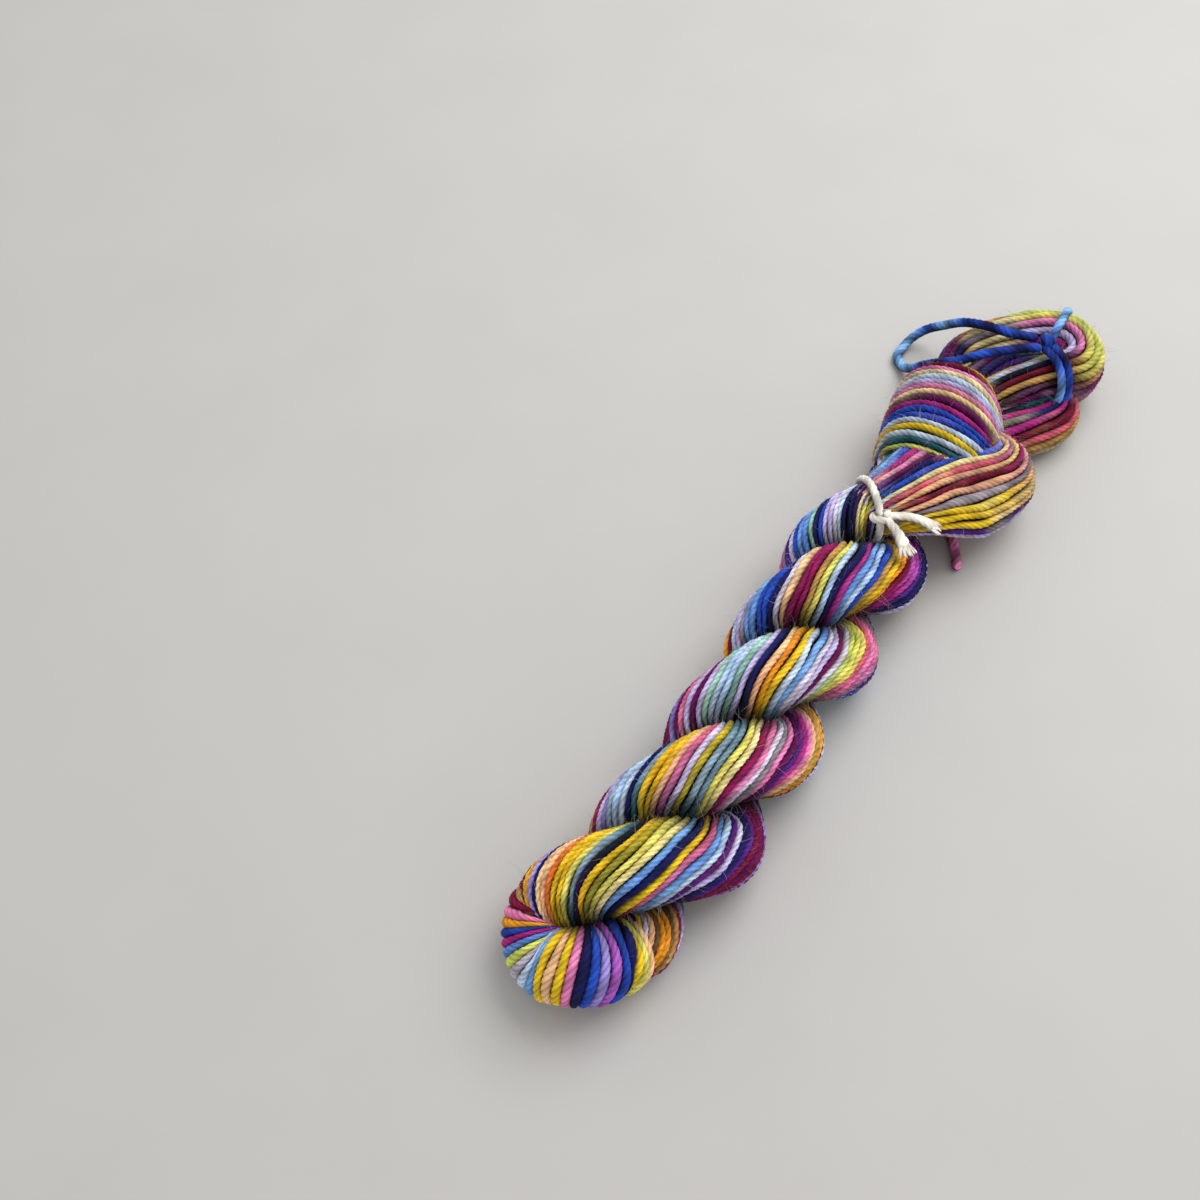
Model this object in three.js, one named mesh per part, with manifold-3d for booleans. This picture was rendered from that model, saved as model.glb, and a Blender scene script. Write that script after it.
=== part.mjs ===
import * as THREE from 'three';
import { mergeVertices } from 'three/addons/utils/BufferGeometryUtils.js';
import Module from 'manifold-3d';

// A small skein of hand-dyed yarn, lying on a table.
// The wound loop of yarn is twisted, folded in half so that its two plies wrap round each other,
// and the end is tucked through itself. Millimetres, +Z up, the rope along X with its fold at -X.
// The table is z = 0 and the origin is under the middle of the skein.

const wasm = await Module();
wasm.setup();

// Driving sizes of the twisted rope
const HALF_TURN = 24.9; // rope length in which the two plies change places
const FIRST_CROSSING = -75.5; // x where the first ply crosses the top beside the fold
const FOLD_NOSE = -96.5; // x of the bundle's centre line at the nose of the fold
const FOLD_SHOULDER = -0.58; // half turns from the first crossing back to the fold's shoulders
const FOLD_TWIST = 0.12; // half turns by which the fold itself is twisted
const CREST_LEAD = 0.25; // radians by which a ply is highest before it is over the axis
const PLY_DIVE = 0.12; // radians by which a ply then dives the sooner under the other
const FOLD_DROP = 0.22; // half turns of the rope's table that the fold's nose runs back
const FOLD_OVERLAP = Math.PI / 2.4; // how far each ply runs past the nose of the fold, in radians
const FOLD_ROWS = 9; // stations of one ply on the fold
const FOLD_HEART_PLACE = [-90.8, 0.2, 11.2]; // yarn squeezed full inside the bend of the fold
const FOLD_HEART_SIZE = [5.0, 5.4, 5.0]; // its half sizes
const ROW_SPACING = 0.25; // half turns between two stations on the rope
const FIRST_PLY_LAST = 3.5; // half turns where the first ply reaches its tie
const SECOND_PLY_LAST = 4.0; // half turns where the second ply runs under the tied end
const SETTLE = 0.7; // depth by which the soft plies flatten on the table
const TABLE_BLOCK = [400, 200, 40]; // block under the table's top, which cuts the flat spots
const PLY_SIDES = 20;
const PLY_STEP = 3.2; // length of one step along a ply

// The rope's axis: one row for each station, in half turns from the first crossing
const ROPE = [
  // turns, axis y, axis z, spread y, spread z, ply radius, slant
  [-0.8, 0.6, 8.6, 7.2, 5.0, 7.8, 0.0],
  [-0.45, -0.6, 10.2, 7.4, 5.4, 7.9, 0.1],
  [0.0, -3.6, 12.6, 8.0, 5.8, 8.0, 0.45],
  [1.0, -3.4, 13.2, 7.9, 6.0, 7.9, 0.5],
  [2.0, -1.1, 13.4, 7.0, 6.0, 7.7, 0.5],
  [3.0, 1.4, 13.6, 7.8, 6.0, 7.7, 0.5],
  [4.0, 3.4, 13.6, 7.2, 6.2, 7.4, 0.4],
  [5.0, 3.0, 13.6, 7.0, 6.2, 7.4, 0.2],
];

// First ply past the rope: the tie, then the fan of turns beside it, which dives under the band
const FAN = [
  // x, y, z, half size in x, in y, in z
  [19.6, 5.6, 19.3, 5.9, 5.9, 5.9],
  [26.0, 2.4, 18.6, 8.8, 8.8, 6.2],
  [33.5, -0.8, 16.2, 12.2, 12.2, 6.2],
  [40.5, -4.2, 13.4, 14.2, 14.2, 6.8],
  [46.5, -7.4, 11.8, 12.8, 12.8, 7.0],
  [51.5, -9.4, 10.8, 10.2, 10.2, 7.2],
  [55.2, -8.6, 9.8, 7.8, 7.8, 7.2],
  [56.4, -4.8, 9.6, 6.5, 6.5, 6.6],
  [54.5, -0.5, 10.2, 6.0, 6.0, 6.0],
];

// Second ply past the rope, under the tied end
const UNDER_BAND = [
  // x, y, z, half size in x, in y, in z
  [38.5, 6.5, 8.5, 7.4, 7.4, 7.4],
  [46.0, 7.5, 8.6, 7.0, 7.0, 7.0],
];

// Broad band of turns: it comes up from below, crosses the end and dives beside the fan
const BAND_TURN = 0.277; // angle about Z of the band's own half sizes, in radians
const BAND = [
  // x, y, z, half size in x, in y, in z
  [50.0, 9.0, 5.0, 11.0, 4.0, 4.0],
  [50.8, 13.4, 9.0, 12.0, 4.4, 4.4],
  [51.6, 13.8, 13.6, 13.2, 4.6, 4.6],
  [52.4, 10.6, 17.4, 13.8, 4.8, 4.8],
  [53.2, 6.0, 18.8, 14.0, 5.0, 5.0],
  [53.8, 2.0, 18.4, 13.4, 5.0, 5.0],
  [54.6, -1.4, 16.0, 11.6, 4.8, 4.8],
  [55.6, -3.6, 11.4, 10.0, 4.6, 4.6],
  [56.0, -4.4, 7.4, 9.0, 4.4, 4.4],
];

// End loop: an upper arm from behind the band, round the end, and a lower arm back to the band
const UPPER_ARM = [
  // x, y, z, half size in x, in y, in z
  [60.0, 9.0, 5.8, 4.4, 4.4, 5.0],
  [66.0, 11.0, 5.8, 4.5, 4.5, 5.1],
  [72.0, 13.2, 5.9, 4.5, 4.5, 5.2],
  [77.0, 14.6, 6.4, 4.6, 4.6, 6.0],
  [82.0, 14.4, 7.2, 4.8, 4.8, 6.8],
  [86.2, 12.2, 8.2, 4.9, 4.9, 7.3],
  [90.2, 8.8, 9.2, 5.3, 5.3, 7.8],
  [93.8, 5.0, 9.8, 5.8, 5.8, 8.2],
  [96.8, 0.8, 10.0, 6.1, 6.1, 8.6],
  [98.1, -3.4, 10.0, 6.2, 6.2, 8.5],
  [97.0, -7.2, 9.8, 6.2, 6.2, 8.4],
];
const LOWER_ARM = [
  // x, y, z, half size in x, in y, in z
  [98.1, -3.4, 10.0, 6.2, 6.2, 8.5],
  [97.0, -7.2, 9.8, 6.2, 6.2, 8.4],
  [94.0, -9.5, 9.6, 6.1, 6.1, 8.2],
  [90.4, -9.4, 9.6, 6.0, 6.0, 8.0],
  [86.6, -7.0, 9.9, 5.7, 5.7, 7.4],
  [81.4, -3.5, 10.0, 5.5, 5.5, 7.0],
  [75.5, 0.0, 9.6, 5.4, 5.4, 6.6],
  [69.0, 3.0, 9.0, 5.0, 5.0, 6.0],
];

// Smaller loop below the lower arm
const LOW_LOOP = [
  // x, y, z, half size in x, in y, in z
  [60.0, -1.5, 7.6, 5.0, 5.0, 5.4],
  [64.5, -4.6, 7.4, 5.2, 5.2, 5.8],
  [70.0, -8.2, 6.8, 5.4, 5.4, 5.8],
  [76.0, -11.4, 6.2, 5.2, 5.2, 5.6],
  [80.2, -12.2, 6.0, 5.0, 5.0, 5.4],
  [83.6, -10.2, 6.2, 4.8, 4.8, 5.2],
  [84.4, -6.6, 6.6, 4.6, 4.6, 5.0],
];

// Inner turns, which fill the end loop and the space under the fan and the band
const END_HEART = [
  // x, y, z, half size in x, in y, in z
  [64.0, 8.0, 7.6, 5.0, 5.0, 5.4],
  [72.0, 7.6, 8.6, 5.2, 5.2, 5.6],
  [80.0, 5.6, 9.2, 4.8, 4.8, 5.4],
  [86.0, 2.4, 9.4, 4.6, 4.6, 5.2],
  [90.4, -1.4, 9.2, 4.4, 4.4, 5.0],
];
const CORE = [
  // x, y, z, half size in x, in y, in z
  [14.0, 4.6, 10.6, 6.6, 6.6, 6.6],
  [26.0, 4.0, 10.8, 7.0, 7.0, 7.0],
  [36.0, 3.4, 11.0, 7.4, 7.4, 7.2],
  [46.0, 3.4, 11.0, 7.6, 7.6, 7.4],
  [56.0, 3.4, 10.7, 7.4, 7.4, 7.0],
  [64.0, 3.6, 10.0, 6.6, 6.6, 6.4],
];

// Sides of a cord's section, and steps of a cord round a bundle
const CORD_SIDES = 8;
const RING_STEPS = 28;

// Yarn bound round the arms of the end loop, over its end and back under it
const BINDING_RADIUS = 1.1;
const BINDING_STEP = 1.6;
const BINDING_OVER = [
  // x, y, z
  [88.0, -2.8, 17.8],
  [89.8, -2.6, 18.8],
  [92.0, -2.3, 19.4],
  [94.8, -2.0, 19.5],
  [98.8, -1.4, 18.4],
  [102.4, -0.9, 15.4],
  [104.2, -0.7, 11.0],
  [102.6, -1.2, 5.4],
  [97.0, -3.0, 2.6],
  [90.6, -5.0, 2.4],
];
const BINDING_UNDER = [
  // x, y, z
  [90.6, -5.0, 2.4],
  [85.6, -7.0, 3.2],
  [82.2, -10.0, 5.6],
  [81.9, -11.7, 9.6],
  [82.6, -11.5, 13.4],
  [83.9, -10.0, 16.4],
  [85.1, -7.8, 18.2],
  [86.4, -5.4, 18.4],
  [87.8, -3.0, 17.8],
];

// Cotton tie round the first ply: a ring, its knot and two free ends that flare at their cut tips
const TIE_CORD_RADIUS = 0.9;
const TIE_PLACE = [19.6, 5.6, 18.6];
const TIE_ALONG = [0.77, -0.63, -0.04];
const TIE_RING_RADIUS = 7.0;
const TIE_KNOT_PLACE = [16.3, 1.2, 23.0];
const TIE_KNOT_RADIUS = 2.0;
const TIE_GAP = 0.3; // clearance of the tie in the yarn
const TIE_END_STEP = 2.0;
const TIE_LONG_END = [
  // x, y, z, half size in x, in y, in z
  [16.3, 1.2, 23.2, 0.9, 0.9, 0.9],
  [18.0, -1.4, 23.2, 0.9, 0.9, 0.9],
  [20.0, -3.8, 22.6, 0.9, 0.9, 0.9],
  [21.6, -6.0, 21.2, 1.1, 1.1, 1.0],
  [22.8, -8.2, 19.8, 1.3, 1.3, 1.1],
];
const TIE_SHORT_END = [
  // x, y, z, half size in x, in y, in z
  [16.3, 1.2, 23.2, 0.9, 0.9, 0.9],
  [15.6, -1.4, 23.2, 0.9, 0.9, 0.9],
  [14.6, -4.0, 22.6, 1.1, 1.1, 1.0],
  [13.2, -6.6, 21.6, 1.6, 1.6, 1.2],
];

// Loose loop of the yarn's own end: it leaves the binding, lies on the table and comes back
const YARN_RADIUS = 1.2;
const LOOSE_LOOP_STEPS = 44;
const LOOSE_LOOP = [
  // x, y, z
  [87.3, 0.0, 18.5],
  [86.2, 2.6, 18.5],
  [85.1, 6.4, 18.2],
  [85.0, 11.8, 17.2],
  [85.6, 17.6, 14.4],
  [86.8, 22.6, 9.5],
  [86.8, 27.2, 5.0],
  [84.9, 29.3, 2.5],
  [82.2, 29.8, 1.4],
  [78.1, 29.4, 1.3],
  [76.0, 26.8, 1.6],
  [74.4, 23.8, 4.0],
  [73.2, 20.4, 8.4],
  [72.0, 16.4, 12.8],
  [73.0, 12.4, 15.2],
  [74.9, 9.5, 16.9],
  [77.2, 7.1, 17.6],
  [80.4, 3.7, 18.0],
  [83.4, 0.4, 18.2],
  [85.4, -2.0, 18.1],
];

// Loose end of a yarn that is tucked under the skein and shows its tip beside it
const LOOSE_END_STEPS = 14;
const LOOSE_END = [
  // x, y, z
  [62.0, 1.5, 1.4],
  [59.0, 1.9, 1.3],
  [55.5, 1.8, 1.3],
  [51.5, 0.9, 1.3],
  [47.0, -0.6, 1.3],
  [43.0, -3.0, 1.3],
  [39.0, -6.6, 1.3],
  [36.0, -10.0, 1.3],
  [33.0, -12.4, 1.3],
  [30.1, -14.2, 1.3],
];

// Colours of the yarn and the cotton
const YARN_COLOUR = 0x6a4a86;
const BLUE_YARN_COLOUR = 0x2f5fb8;
const PINK_YARN_COLOUR = 0xc77fae;
const COTTON_COLOUR = 0xe6dccb;

function vectorOf([x, y, z]) {
  return new THREE.Vector3(x, y, z);
}

// Values of the rope's table between two of its rows
function ropeAt(turns) {
  const last = ROPE.length - 1;
  const next = Math.min(Math.max(ROPE.findIndex((row) => row[0] >= turns), 1), last);
  const before = ROPE[next - 1];
  const after = ROPE[next];
  const share = THREE.MathUtils.clamp((turns - before[0]) / (after[0] - before[0]), 0, 1);
  const [, y, z, spreadY, spreadZ, radius, slant] = before.map((value, k) => value + share * (after[k] - value));
  return { y, z, spreadY, spreadZ, radius, slant };
}

// One station of a ply: its share of the spread, at a place along the rope and a turn about its axis
function plyRow(x, turns, turned, share) {
  const { y, z, spreadY, spreadZ, radius, slant } = ropeAt(turns);
  const phase = Math.PI * (0.5 + turned);
  const aside = share * Math.sin(Math.PI * turned);
  return [
    x,
    y + share * spreadY * Math.cos(phase - slant * aside),
    z + share * spreadZ * Math.sin(phase + CREST_LEAD + PLY_DIVE * aside),
    radius,
    radius,
    radius,
  ];
}

// Stations of a ply on the fold, a half ellipse from past the nose up to its shoulder
function foldRows(side) {
  const shoulder = FIRST_CROSSING + HALF_TURN * FOLD_SHOULDER;
  const rows = [];
  for (let i = 0; i < FOLD_ROWS; i += 1) {
    const angle = THREE.MathUtils.lerp(-FOLD_OVERLAP, Math.PI / 2, i / (FOLD_ROWS - 1));
    const x = shoulder - (shoulder - FOLD_NOSE) * Math.cos(angle);
    const turns = FOLD_SHOULDER - FOLD_DROP * (1 - Math.abs(Math.sin(angle)));
    const turned = FOLD_SHOULDER - FOLD_TWIST * Math.cos(angle);
    rows.push(plyRow(x, turns, turned, side * Math.sin(angle)));
  }
  return rows;
}

// Stations of a ply on the twisted rope
function twistRows(side, lastTurns) {
  const rows = [];
  const count = Math.ceil((lastTurns - FOLD_SHOULDER) / ROW_SPACING);
  for (let i = 1; i <= count; i += 1) {
    const turns = THREE.MathUtils.lerp(FOLD_SHOULDER, lastTurns, i / count);
    rows.push(plyRow(FIRST_CROSSING + HALF_TURN * turns, turns, turns, side));
  }
  return rows;
}

// Closed bundle along the stations: at each one it is the cross-section of an ellipsoid of the
// station's half sizes, turned about Z, and both ends are rounded off
function bundle(rows, sides, stepLength, turn = 0) {
  const path = new THREE.CatmullRomCurve3(rows.map(vectorOf), false, 'centripetal');
  const halfSizes = rows.map((row) => vectorOf(row.slice(3)));
  const sizes = new THREE.CatmullRomCurve3(halfSizes, false, 'catmullrom', 0.5);
  const length = path.getLength();
  const steps = Math.ceil(length / stepLength);
  const frames = path.computeFrenetFrames(steps, false);
  const upright = new THREE.Vector3(0, 0, 1);
  const geometry = new THREE.SphereGeometry(1, sides, steps);
  const position = geometry.getAttribute('position');
  const uv = geometry.getAttribute('uv');
  for (let k = 0; k < position.count; k += 1) {
    const step = Math.round((1 - uv.getY(k)) * steps);
    const share = step / steps;
    const angle = 2 * Math.PI * uv.getX(k);
    const size = sizes.getPoint(path.getUtoTmapping(share));
    const outward = frames.normals[step].clone().multiplyScalar(Math.cos(angle));
    outward.addScaledVector(frames.binormals[step], -Math.sin(angle));
    const fromEnd = Math.min(share, 1 - share) * length;
    const meanSize = (size.x + size.y + size.z) / 3;
    const rounding = Math.sqrt(1 - (1 - Math.min(fromEnd / meanSize, 1)) ** 2);
    const reach = rounding / outward.clone().applyAxisAngle(upright, -turn).divide(size).length();
    const point = path.getPointAt(share).addScaledVector(outward, reach);
    position.setXYZ(k, point.x, point.y, point.z);
  }
  return geometry;
}

function solidOf(geometry) {
  geometry.deleteAttribute('normal');
  geometry.deleteAttribute('uv');
  const merged = mergeVertices(geometry, 1e-4);
  const vertProperties = new Float32Array(merged.getAttribute('position').array);
  const triVerts = new Uint32Array(merged.getIndex().array);
  return new wasm.Manifold(new wasm.Mesh({ numProp: 3, vertProperties, triVerts }));
}

function geometryOf(solid) {
  const { vertProperties, triVerts } = solid.getMesh();
  const geometry = new THREE.BufferGeometry();
  geometry.setAttribute('position', new THREE.BufferAttribute(vertProperties, 3));
  geometry.setIndex(new THREE.BufferAttribute(triVerts, 1));
  geometry.computeVertexNormals();
  return geometry;
}

// The bulk of a union, without the slivers and bubbles that a tight bend can leave inside it
function mainBody(solid) {
  return solid.decompose().reduce((largest, body) => (body.volume() > largest.volume() ? body : largest));
}

// Ring of a round cord about a bundle, square to the bundle's direction
function ring(place, along, radius, cordRadius) {
  const geometry = new THREE.TorusGeometry(radius, cordRadius, CORD_SIDES, RING_STEPS);
  const upright = new THREE.Vector3(0, 0, 1);
  geometry.applyQuaternion(new THREE.Quaternion().setFromUnitVectors(upright, vectorOf(along).normalize()));
  geometry.translate(...place);
  return solidOf(geometry);
}

// The tie with all its radii grown, so that the same shape also cuts its own clearance
function tieSolid(grow) {
  const knot = new THREE.SphereGeometry(TIE_KNOT_RADIUS + grow, CORD_SIDES, CORD_SIDES);
  knot.translate(...TIE_KNOT_PLACE);
  let solid = ring(TIE_PLACE, TIE_ALONG, TIE_RING_RADIUS, TIE_CORD_RADIUS + grow);
  solid = solid.add(solidOf(knot));
  for (const end of [TIE_LONG_END, TIE_SHORT_END]) {
    const rows = end.map(([x, y, z, ...half]) => [x, y, z, ...half.map((value) => value + grow)]);
    solid = solid.add(solidOf(bundle(rows, CORD_SIDES, TIE_END_STEP)));
  }
  return solid;
}

// The whole wound form: two plies, the band, the end loop and its binding, flat where it lies
function skeinSolid() {
  const settled = (rows) => rows.map(([x, y, z, ...half]) => [x, y, z - SETTLE, ...half]);
  const firstPly = [...foldRows(1), ...twistRows(1, FIRST_PLY_LAST), ...FAN];
  const secondPly = [...foldRows(-1), ...twistRows(-1, SECOND_PLY_LAST), ...UNDER_BAND];
  const heart = new THREE.SphereGeometry(1, PLY_SIDES, PLY_SIDES / 2);
  heart.scale(...FOLD_HEART_SIZE);
  heart.translate(...FOLD_HEART_PLACE);
  let solid = solidOf(heart);
  for (const rows of [firstPly, secondPly, UPPER_ARM, LOWER_ARM, LOW_LOOP, END_HEART, CORE]) {
    solid = solid.add(solidOf(bundle(settled(rows), PLY_SIDES, PLY_STEP)));
  }
  solid = solid.add(solidOf(bundle(settled(BAND), PLY_SIDES, PLY_STEP, BAND_TURN)));
  for (const route of [BINDING_OVER, BINDING_UNDER]) {
    const rows = route.map((place) => [...place, BINDING_RADIUS, BINDING_RADIUS, BINDING_RADIUS]);
    solid = solid.add(solidOf(bundle(rows, CORD_SIDES, BINDING_STEP)));
  }
  const underTable = new THREE.BoxGeometry(...TABLE_BLOCK);
  underTable.translate(0, 0, -TABLE_BLOCK[2] / 2);
  return mainBody(solid.subtract(solidOf(underTable)).subtract(tieSolid(TIE_GAP)));
}

// Round yarn along a route
function yarn(route, steps) {
  const section = new THREE.Shape().absarc(0, 0, YARN_RADIUS, 0, 2 * Math.PI, false);
  const extrudePath = new THREE.CatmullRomCurve3(route.map(vectorOf), false, 'centripetal');
  return new THREE.ExtrudeGeometry(section, { steps, curveSegments: CORD_SIDES / 2, extrudePath });
}

function piece(name, geometry, color) {
  const material = new THREE.MeshStandardMaterial({ color, roughness: 0.9, metalness: 0 });
  const mesh = new THREE.Mesh(geometry, material);
  mesh.name = name;
  return mesh;
}

const skein = new THREE.Group();
skein.add(piece('skein', geometryOf(skeinSolid()), YARN_COLOUR));
skein.add(piece('tie', geometryOf(tieSolid(0)), COTTON_COLOUR));
skein.add(piece('loose_loop', yarn(LOOSE_LOOP, LOOSE_LOOP_STEPS), BLUE_YARN_COLOUR));
skein.add(piece('loose_end', yarn(LOOSE_END, LOOSE_END_STEPS), PINK_YARN_COLOUR));

export default skein;
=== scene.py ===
# %% [markdown]
# # A hank of hand-dyed wool, twisted into a skein
# The yarn was wound into one long loop, dyed in many colours, twisted, and folded so that its two halves
# wrap round each other. Its end is tucked through itself, a cotton tie holds one ply, and the yarn's own
# end is bound round the end loop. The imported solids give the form, and this script winds the yarn on it
# strand by strand, because strands that are only painted on would look flat at every outline.

import bpy
import numpy as np
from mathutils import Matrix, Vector


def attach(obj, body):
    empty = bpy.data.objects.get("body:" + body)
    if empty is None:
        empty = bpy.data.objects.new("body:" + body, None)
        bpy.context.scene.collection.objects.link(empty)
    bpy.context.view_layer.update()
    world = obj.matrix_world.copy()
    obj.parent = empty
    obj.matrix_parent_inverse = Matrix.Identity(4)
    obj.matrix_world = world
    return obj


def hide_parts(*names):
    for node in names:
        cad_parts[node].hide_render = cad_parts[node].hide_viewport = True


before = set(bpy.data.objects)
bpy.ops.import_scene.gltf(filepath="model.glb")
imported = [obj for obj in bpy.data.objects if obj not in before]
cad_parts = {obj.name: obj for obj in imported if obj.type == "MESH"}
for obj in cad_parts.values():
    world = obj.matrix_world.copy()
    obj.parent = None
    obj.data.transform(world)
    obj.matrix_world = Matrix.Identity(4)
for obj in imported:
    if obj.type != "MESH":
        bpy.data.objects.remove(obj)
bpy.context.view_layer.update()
MM = 0.001


# %% [markdown]
# ## The camera
# The skein lies on a table and is seen from above, along the picture's diagonal. A camera can be moved by
# hand until the view fits. Here it is set by the table point in the middle of the picture, the distance to
# it and two angles, because such plain numbers are easy to check and to correct.

# %% Aim the camera
VIEW_MIDDLE = np.array([-23.5, 45.0, 0.0]) * MM
VIEW_DISTANCE = 320 * MM
VIEW_AROUND = np.radians(307)
VIEW_HEIGHT = np.radians(56)
VIEW_ANGLE = np.radians(45)
NEAREST_SEEN = 10 * MM

towards_camera = np.array([
    np.sin(VIEW_AROUND) * np.cos(VIEW_HEIGHT),
    -np.cos(VIEW_AROUND) * np.cos(VIEW_HEIGHT),
    np.sin(VIEW_HEIGHT),
])
camera = bpy.data.objects.new("table_view", bpy.data.cameras.new("table_view"))
camera.data.sensor_fit = "HORIZONTAL"
camera.data.angle = VIEW_ANGLE
camera.data.clip_start = NEAREST_SEEN
camera.location = VIEW_MIDDLE + VIEW_DISTANCE * towards_camera
camera.rotation_euler = Vector(towards_camera).to_track_quat("Z", "Y").to_euler()
bpy.context.collection.objects.link(camera)
bpy.context.scene.camera = camera
bpy.context.scene.view_settings.view_transform = "Standard"
print("camera at", np.round(np.array(camera.location), 4))

# %% [markdown]
# ## Paths
# Every length of yarn follows a smooth curve through a short table of places. One of Blender's own curves
# could carry the places and a radius, but not the widths, heights and leans that go with them. So the curve
# is worked out here. It passes through each row without loops or overshoot, and all columns of the table
# change as smoothly.

# %% Draw smooth curves through table rows
STEPS_A_ROW = 60


def unit(vectors):
    """Each vector divided by its own length."""
    return vectors / np.linalg.norm(vectors, axis=-1, keepdims=True)


def smooth_rows(rows, spacing):
    """Rows at even distances along the curve through the given rows, and those distances.

    Knots are apart by the square root of the distance between rows. Each span is a blend of blends:
    three straight blends of neighbouring rows, two blends of those, and one blend of the two."""
    rows = np.vstack([2 * rows[0] - rows[1], rows, 2 * rows[-1] - rows[-2]])
    steps = np.linalg.norm(np.diff(rows[:, :3], axis=0), axis=1)
    knots = np.concatenate([[0.0], np.cumsum(np.sqrt(steps))])
    at = np.linspace(knots[1], knots[-2], STEPS_A_ROW * len(rows))
    span = np.clip(np.searchsorted(knots, at, side="right") - 1, 1, len(rows) - 3)

    def mix(low, high, a, b):
        share = ((at - knots[span + low]) / (knots[span + high] - knots[span + low]))[:, None]
        return (1 - share) * a + share * b

    first, second, third = (mix(k, k + 1, rows[span + k], rows[span + k + 1]) for k in (-1, 0, 1))
    curve = mix(0, 1, mix(-1, 1, first, second), mix(0, 2, second, third))
    run = np.concatenate([[0.0], np.cumsum(np.linalg.norm(np.diff(curve[:, :3], axis=0), axis=1))])
    even = np.linspace(0.0, run[-1], int(np.ceil(run[-1] / spacing)) + 1)
    return np.stack([np.interp(even, run, column) for column in curve.T], axis=1), even


_, bow = smooth_rows(np.array([[0.0, 0, 0], [3, 4, 0], [6, 0, 0]]), 0.5)
print(f"a curve over two spans of 5 is {bow[-1]:.1f} long and has {len(bow)} even places")

# %% [markdown]
# ## Unevenness
# Nothing in wound yarn is quite even: a strand sways, swells and takes more or less dye along its length.
# Noise that jumps from point to point would look like dirt. A few slow waves of random lengths, added up,
# change smoothly, and the seed gives the same waves on every run.

# %% Let strands be uneven
SEED = 27
chance = np.random.default_rng(SEED)


def slow_waves(count, run, shortest, longest):
    """Smooth seeded unevenness from -1 to 1, a row for each strand: the mean of three sine waves
    whose lengths lie between the two given and whose phases are random."""
    lengths = chance.uniform(shortest, longest, (count, 1, 3))
    phases = chance.uniform(0, 2 * np.pi, (count, 1, 3))
    return np.sin(2 * np.pi * run[..., None] / lengths + phases).mean(axis=-1)


print("seed of all that is left to chance:", SEED)

# %% [markdown]
# ## Strands as tubes
# A strand is a tube: rings of points along a line, joined by quads, with a face over each end. A curve with
# a round bevel gives tubes too, but smooth ones of one colour. Points worked out as arrays can be grooved,
# each point has its own dye, and all the strands of a piece go into one mesh at once.

# %% Number the corners of tubes
YARN_DIAMETER = 2.2 * MM


def close_strands(strands, stations, columns):
    """Corner numbers of the skin of tubes: quads between neighbouring stations and columns, then
    one face over each tube's start, turned backwards, and one over its end."""
    number = np.arange(strands * stations * columns).reshape(strands, stations, columns)
    onward = np.roll(number, -1, axis=2)
    quads = np.stack([number[:, :-1], onward[:, :-1], onward[:, 1:], number[:, 1:]], axis=-1)
    caps = np.stack([number[:, 0, ::-1], number[:, -1]], axis=1)
    return quads, caps


def tube_uv(run, quads):
    """UV corners of the quads: u goes once round a strand, and v is the distance along it in girths."""
    columns = quads.shape[2]
    around = np.arange(columns + 1) / columns
    along = run / (np.pi * YARN_DIAMETER)
    u = np.stack([around[:-1], around[1:], around[1:], around[:-1]], axis=-1)
    v = np.stack([along[:, :-1], along[:, :-1], along[:, 1:], along[:, 1:]], axis=-1)[:, :, None]
    return np.stack([np.broadcast_to(u, quads.shape), np.broadcast_to(v, quads.shape)], axis=-1)


print("a tube of 3 rings of 12 points has", close_strands(1, 3, 12)[0].size // 4, "quads and 2 end faces")

# %% [markdown]
# ## A mesh from arrays
# Blender can build a mesh point by point, but that is slow for a million triangles. Here foreach_set hands
# over a whole array at a time. Each mesh moves with the hank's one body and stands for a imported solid, which
# it hides.

# %% Put tubes into a mesh
def put_mesh(name, points, dye, run, material):
    """A mesh object of tubes, from points by strand, station and column, with a colour on each point, which is
    the dye with its painted shade or sheen, and a UV map that follows the yarn."""
    columns = points.shape[2]
    quads, caps = close_strands(*points.shape[:3])
    corners = np.concatenate([quads.ravel(), caps.ravel()])
    quad_count, cap_count = quads.size // 4, caps.size // columns
    starts = np.concatenate([4 * np.arange(quad_count), quads.size + columns * np.arange(cap_count)])
    uv = np.zeros((len(corners), 2))
    uv[:quads.size] = tube_uv(run, quads).reshape(-1, 2)
    mesh = bpy.data.meshes.new(name)
    mesh.vertices.add(points.size // 3)
    mesh.vertices.foreach_set("co", points.astype(np.float32).ravel())
    mesh.loops.add(len(corners))
    mesh.loops.foreach_set("vertex_index", corners.astype(np.int32))
    mesh.polygons.add(quad_count + cap_count)
    mesh.polygons.foreach_set("loop_start", starts.astype(np.int32))
    mesh.polygons.foreach_set("use_smooth", np.ones(quad_count + cap_count, dtype=bool))
    mesh.update(calc_edges=True)
    colour = mesh.color_attributes.new("dye", "FLOAT_COLOR", "POINT")
    colour.data.foreach_set("color", dye.astype(np.float32).ravel())
    mesh.uv_layers.new(name="yarn").data.foreach_set("uv", uv.astype(np.float32).ravel())
    mesh.validate()
    mesh.materials.append(material)
    piece = bpy.data.objects.new(name, mesh)
    bpy.context.collection.objects.link(piece)
    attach(piece, "root")
    print(f"{name}: {len(points)} strands, {2 * quad_count + cap_count * (columns - 2)} triangles")
    return piece


def stand_for(node):
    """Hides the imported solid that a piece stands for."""
    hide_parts(node)


# %% [markdown]
# ## Plied yarn
# The wool is spun from four fine threads. Their grooves could be a bump in the material, but then a strand
# would have a smooth outline. So the section is a circle with four shallow grooves, and it turns as it goes
# along the strand, so that the grooves wind round it as the threads do.

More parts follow.
